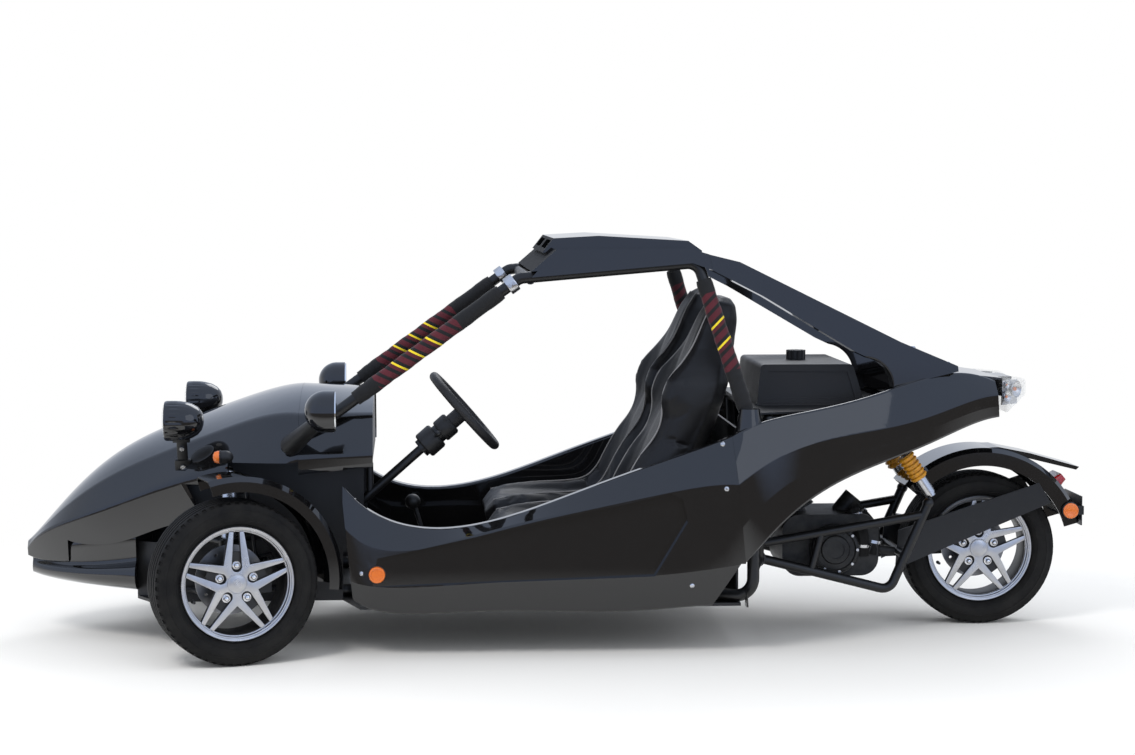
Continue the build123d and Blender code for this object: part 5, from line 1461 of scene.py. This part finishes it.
@dataclass
class TailLamps:
    """Two corner lamps: a clear wedge over chrome bowls and a bright back plate."""

    front: tuple[float, float, float, float, float] = (1.4768, -0.268, -0.090, 0.745, 0.862)
    rear: tuple[float, float, float, float, float] = (1.562, -0.190, -0.090, 0.802, 0.858)
    bowl: Profile = (
        (0.0, -0.020), (0.010, -0.019), (0.022, -0.012), (0.029, -0.002), (0.031, 0.0), (0.030, 0.001),
        (0.024, -0.009), (0.012, -0.0165), (0.0, -0.0175),
    )
    # the bright plate behind the slanted side: middle, outward direction, run of its length and size
    plate: tuple[float, float, float] = (1.500, -0.206, 0.814)
    outward: tuple[float, float, float] = (0.675, -0.738, 0.0)
    run: tuple[float, float, float] = (0.738, 0.675, 0.0)
    plate_size: tuple[float, float, float] = (0.088, 0.082, 0.004)
    # distance along the plate, height above its middle, and share of the bowl's size
    bowls: tuple[tuple[float, float, float], ...] = (
        (0.018, 0.010, 0.95), (-0.027, -0.014, 0.68), (-0.022, 0.026, 0.42),
    )

    def build(self) -> None:
        """Make both lamps."""
        lens = Shape()
        self._wedge(lens, 0.003)
        lens.bevel(0.007, 4)
        bmesh.ops.reverse_faces(lens.bm, faces=lens.bm.faces[:])
        inner = lens.mesh("lining")
        outer = Shape()
        self._wedge(outer, 0.0)
        outer.bevel(0.009, 4)
        outer.bm.from_mesh(inner)
        bpy.data.meshes.remove(inner)
        show(outer.mirrored(), "corner_lamps", CLEAR, "chassis", ("tail_lamps",))
        out, run, middle = Vector(self.outward), Vector(self.run), Vector(self.plate)
        shape = Shape().block(self.plate_size, frame_at(middle, out, run))
        spots = [
            middle + run * along + Vector((0, 0, height)) + out * 0.018 * share
            for along, height, share in self.bowls
        ]
        for spot, (_along, _height, share) in zip(spots, self.bowls):
            shape.spin([(r * share, d * share) for r, d in self.bowl], spot, out, 36)
        shape.coat(0)
        for spot, (_along, _height, share) in zip(spots, self.bowls):
            shape.ball(0.008 * share, frame_at(spot - out * 0.008 * share, out), 12)
        shape.coat(1)
        show(shape.mirrored(), "corner_lamp_bowls", (PLATED, AMBER), "chassis")

    def _wedge(self, shape: Shape, inset: float) -> None:
        """Add the wedge between the two end outlines."""
        verts = []
        for (x, outer, inner, low, high), way in ((self.front, 1), (self.rear, -1)):
            x += way * inset
            for y in (outer + inset, inner - inset):
                for z in (low + inset, high - inset):
                    verts.append(shape.bm.verts.new((x, y, z)))
        bmesh.ops.convex_hull(shape.bm, input=verts)
        bmesh.ops.dissolve_limit(
            shape.bm, angle_limit=radians(1), verts=shape.bm.verts[:], edges=shape.bm.edges[:]
        )


@dataclass
class NoseLip:
    """The rounded lip under the nose, with the neck that draws in between lip and cowl."""

    # x, then (half width, height) of collar, neck, groove, shoulder, edge and keel
    rows: tuple[tuple[float, tuple[tuple[float, float], ...]], ...] = (
        (-1.797, ((0.010, 0.278), (0.007, 0.256), (0.006, 0.246), (0.016, 0.236), (0.020, 0.220),
            (0.009, 0.203))),
        (-1.760, ((0.050, 0.310), (0.042, 0.268), (0.036, 0.244), (0.060, 0.236), (0.076, 0.219),
            (0.046, 0.189))),
        (-1.655, ((0.163, 0.372), (0.142, 0.280), (0.131, 0.246), (0.152, 0.240), (0.174, 0.219),
            (0.118, 0.172))),
        (-1.540, ((0.240, 0.410), (0.219, 0.300), (0.208, 0.256), (0.232, 0.250), (0.260, 0.227),
            (0.200, 0.163))),
        (-1.4205, ((0.306, 0.440), (0.286, 0.318), (0.273, 0.278), (0.304, 0.270), (0.346, 0.244),
            (0.294, 0.156))),
    )

    def build(self) -> None:
        """Make the lip."""
        shape = Shape()
        crease = shape.bm.edges.layers.float.new("crease_edge")
        rings = []
        for x, side in self.rows:
            half = [Vector((x, -y, z)) for y, z in side]
            other = [Vector((x, y, z)) for y, z in reversed(side)]
            rings.append([shape.bm.verts.new(point) for point in half + other])
        hoops = [[shape.bm.edges.new(pair) for pair in zip(ring, ring[1:] + ring[:1])] for ring in rings]
        for near, far in zip(hoops, hoops[1:]):
            bmesh.ops.bridge_loops(shape.bm, edges=near + far)
        for ring in (rings[0], rings[-1]):
            shape.bm.faces.new(ring)
        bmesh.ops.recalc_face_normals(shape.bm, faces=shape.bm.faces[:])
        for hoop in (hoops[0], hoops[-1]):
            for edge in hoop:
                edge[crease] = 1.0
        piece = show(shape, "nose_under_lip", PAINT, "chassis", ("nose_lip",))
        rounder = piece.modifiers.new("round", "SUBSURF")
        rounder.levels = 3
        rounder.render_levels = 3


@dataclass
class EngineDress:
    """Cover, bolts and intake boots with clamps on the left of the engine."""

    cover: tuple[float, float, float] = (0.915, -0.184, 0.280)
    cover_profile: Profile = (
        (0.030, 0.0), (0.083, 0.0), (0.083, 0.004), (0.079, 0.010), (0.070, 0.012),
        (0.066, 0.007), (0.050, 0.008),
        (0.046, 0.013), (0.030, 0.014),
    )
    bolt_circle: float = 0.0745
    bolts: int = 9
    # intake boots as routes with a radius
    boots: tuple[tuple[tuple[tuple[float, float, float], ...], float], ...] = (
        (((0.985, -0.105, 0.400), (1.000, -0.125, 0.360), (1.015, -0.145, 0.310),
            (1.012, -0.140, 0.255)), 0.029),
        (((1.000, -0.070, 0.405), (1.040, -0.100, 0.365), (1.062, -0.125, 0.320),
            (1.050, -0.130, 0.255)), 0.025),
    )

    def build(self) -> None:
        """Make the dress."""
        way = Vector((0, -1, 0))
        spot = Vector(self.cover)
        shape = Shape().spin(self.cover_profile, spot, way, 56)
        shape.coat(0)
        for index in range(self.bolts):
            turn = index * tau / self.bolts
            bolt = spot + Vector((cos(turn), 0.0, sin(turn))) * self.bolt_circle + way * 0.010
            shape.peg(0.0052, 0.005, frame_at(bolt, way), 6)
        shape.coat(1)
        for route, radius in self.boots:
            shape.hose(route, radius, 16)
        shape.coat(2)
        for route, radius in self.boots:
            for near, far, share in ((0, 1, 0.5), (2, 3, 0.35)):
                a, b = Vector(route[near]), Vector(route[far])
                inner, outer = radius * 0.98, radius * 1.08
                band = ((inner, -0.005), (outer, -0.005), (outer, 0.005), (inner, 0.005))
                shape.spin(band, a.lerp(b, share), b - a, 32)
        shape.coat(1)
        show(shape, "engine_dress", (CAST, PLATED, RUBBER), "chassis")


@dataclass
class CowlTrim:
    """Dark oval pads behind the lamp brackets, and tapered covers round the mirror stalks."""

    nodes: dict[str, bpy.types.Object]
    pad: tuple[float, float, float] = (0.044, 0.027, 0.0045)
    pad_ray: tuple[float, float, float] = (-1.195, -2.0, 0.640)
    stalk: tuple[tuple[float, float, float], ...] = (
        (-0.905, -0.456, 0.672), (-0.880, -0.495, 0.697), (-0.850, -0.542, 0.726), (-0.818, -0.592, 0.757),
    )
    girth: tuple[float, ...] = (1.35, 1.22, 1.05, 0.92)

    def build(self) -> None:
        """Make the pads and the covers on both sides."""
        shape = Shape()
        cowl = self.nodes["nose_cowl"]
        hit, spot, normal, _index = cowl.ray_cast(Vector(self.pad_ray), Vector((0, 1, 0)))
        if hit:
            frame = frame_at(spot, normal, (1.0, 0.0, 0.45))
            shape.ball(1.0, frame @ Matrix.Diagonal((*self.pad, 1.0)), 28)
        shape.hose(self.stalk, 0.026, 20, girth=self.girth)
        show(shape.mirrored(), "cowl_trim", PLASTIC, "chassis")


@dataclass
class ColumnDress:
    """Switch drum and collar on the steering column, and collars at the pillar tops."""

    hub: tuple[float, float, float] = (-0.341, -0.300, 0.770)
    rake: float = radians(41.3)
    drum: Profile = (
        (0.016, -0.178), (0.041, -0.178), (0.045, -0.173), (0.045, -0.126), (0.041, -0.120),
        (0.027, -0.118),
        (0.027, -0.108), (0.036, -0.106), (0.039, -0.101), (0.039, -0.064), (0.035, -0.058),
        (0.016, -0.058),
    )
    collar: Profile = (
        (0.019, 0.018), (0.0285, 0.018), (0.0300, 0.021), (0.0300, 0.046), (0.0285, 0.049), (0.019, 0.049),
    )

    def build(self) -> None:
        """Make the drum, its stalk and the collars."""
        axle = Vector((cos(self.rake), 0.0, sin(self.rake)))
        hub = Vector(self.hub)
        shape = Shape().spin(self.drum, hub, axle, 36)
        stem = hub - axle * 0.128
        bend, tip = stem + Vector((0, -0.045, 0.004)), stem + Vector((0.01, -0.095, 0.018))
        shape.hose((stem, bend, tip), 0.0055, 8)
        shape.ball(0.009, frame_at(stem + Vector((0.01, -0.097, 0.019)), (0, 1, 0)), 12)
        show(shape, "column_switch", PLASTIC, "chassis")
        collars = Shape()
        top, foot = Vector((-0.164, -0.440, 1.211)), Vector((-0.845, -0.440, 0.714))
        run = (foot - top).normalized()
        collars.spin(self.collar, top, run, 36)
        for share in (0.026, 0.041):
            collars.peg(0.0065, 0.034, frame_at(top + run * share, (0, -1, 0)), 6)
        show(collars.mirrored(), "pillar_collars", PLATED, "chassis")


@dataclass
class Fasteners:
    """Button screws seated on the body's solids by casting rays at them."""

    nodes: dict[str, bpy.types.Object]
    # node, ray start, ray direction, head radius, finish
    rows: tuple[tuple[str, Sequence[float], Sequence[float], float, Finish], ...] = (
        ("side_panel_left", (0.478, -2.0, 0.684), (0, 1, 0), 0.0085, PLATED),
        ("side_panel_left", (0.486, -2.0, 0.545), (0, 1, 0), 0.0085, PLATED),
        ("rear_quarter_left", (0.545, -2.0, 0.345), (0, 1, 0), 0.0085, PLATED),
        ("side_panel_left", (0.379, -2.0, 0.231), (0, 1, 0), 0.0085, PLATED),
        ("side_panel_left", (-0.677, -2.0, 0.279), (0, 1, 0), 0.0080, PLATED),
        ("buttress_left", (1.139, -0.36, 2.0), (0, 0, -1), 0.0085, PLATED),
        ("buttress_left", (1.270, -0.30, 2.0), (0, 0, -1), 0.0085, PLATED),
        ("guard_carriers", (1.642, -2.0, 0.488), (0, 1, 0), 0.0085, PLATED),
        ("guard_carriers", (1.672, -2.0, 0.456), (0, 1, 0), 0.0085, PLATED),
        ("side_panel_right", (0.478, 2.0, 0.684), (0, -1, 0), 0.0085, PLATED),
        ("side_panel_right", (0.486, 2.0, 0.545), (0, -1, 0), 0.0085, PLATED),
        ("rear_quarter_right", (0.545, 2.0, 0.345), (0, -1, 0), 0.0085, PLATED),
        ("side_panel_right", (0.379, 2.0, 0.231), (0, -1, 0), 0.0085, PLATED),
        ("buttress_right", (1.139, 0.36, 2.0), (0, 0, -1), 0.0085, PLATED),
        ("buttress_right", (1.270, 0.30, 2.0), (0, 0, -1), 0.0085, PLATED),
        ("guard_carriers", (1.642, 2.0, 0.488), (0, -1, 0), 0.0085, PLATED),
        ("guard_carriers", (1.672, 2.0, 0.456), (0, -1, 0), 0.0085, PLATED),
    )
    dish: Profile = ((0.0, 0.30), (0.35, 0.30), (0.42, 0.55), (0.75, 0.42), (0.97, 0.14), (1.0, 0.0))

    def build(self) -> None:
        """Make the screws, one piece for each finish."""
        shapes: dict[Finish, Shape] = {}
        for name, start, way, radius, finish in self.rows:
            solid = self.nodes[name]
            hit, spot, normal, _index = solid.ray_cast(Vector(start), Vector(way).normalized())
            if not hit:
                LOG.warning("no seat for a screw on %s from %s", name, tuple(start))
                continue
            shape = shapes.setdefault(finish, Shape())
            head = [(r * radius, d * radius) for r, d in self.dish]
            shape.spin(head, spot, normal, 24, closed=False)
        for index, (finish, shape) in enumerate(shapes.items()):
            show(shape, f"screws_{index}", finish, "chassis")


def main() -> None:
    """Build the looks."""
    logging.basicConfig(level=logging.INFO, format="%(name)s: %(message)s")
    for item in list(bpy.data.objects):
        bpy.data.objects.remove(item)
    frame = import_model()
    Studio().build()
    SolidDress(frame["nodes"]).build()
    for word, centre, outward in (
        ("left", (-1.08173, -0.61584, 0.262), (0.309, -0.9511, 0.0)),
        ("right", (-1.13427, 0.61584, 0.262), (-0.309, 0.9511, 0.0)),
        ("rear", (1.438, 0.0, 0.262), (0.0, -1.0, 0.0)),
    ):
        Wheel(word, centre, outward).build()
    BucketSeats().build()
    sleeves = []
    for hand in Hand:
        y = hand.value
        sleeves.append(
            CageSleeve(
                f"pillar_{hand.word}",
                (-0.164, y * 0.440, 1.211), (-0.845, y * 0.440, 0.714), (0.09, 0.78), (0.245, 0.573),
            )
        )
        sleeves.append(
            CageSleeve(
                f"hoop_{hand.word}",
                (0.412, y * 0.450, 1.261), (0.588, y * 0.540, 0.700), (0.10, 0.86), (0.107, 0.369),
            )
        )
    for index, sleeve in enumerate(sleeves):
        sleeve.build(("cage_sleeves",) if index == 0 else ())
    for assembly in (Headlamps(), AmberMarkers(), TailLamps(), NoseLip(), EngineDress(), ColumnDress()):
        assembly.build()
    CowlTrim(frame["nodes"]).build()
    Fasteners(frame["nodes"]).build()


if __name__ == "__main__":
    main()
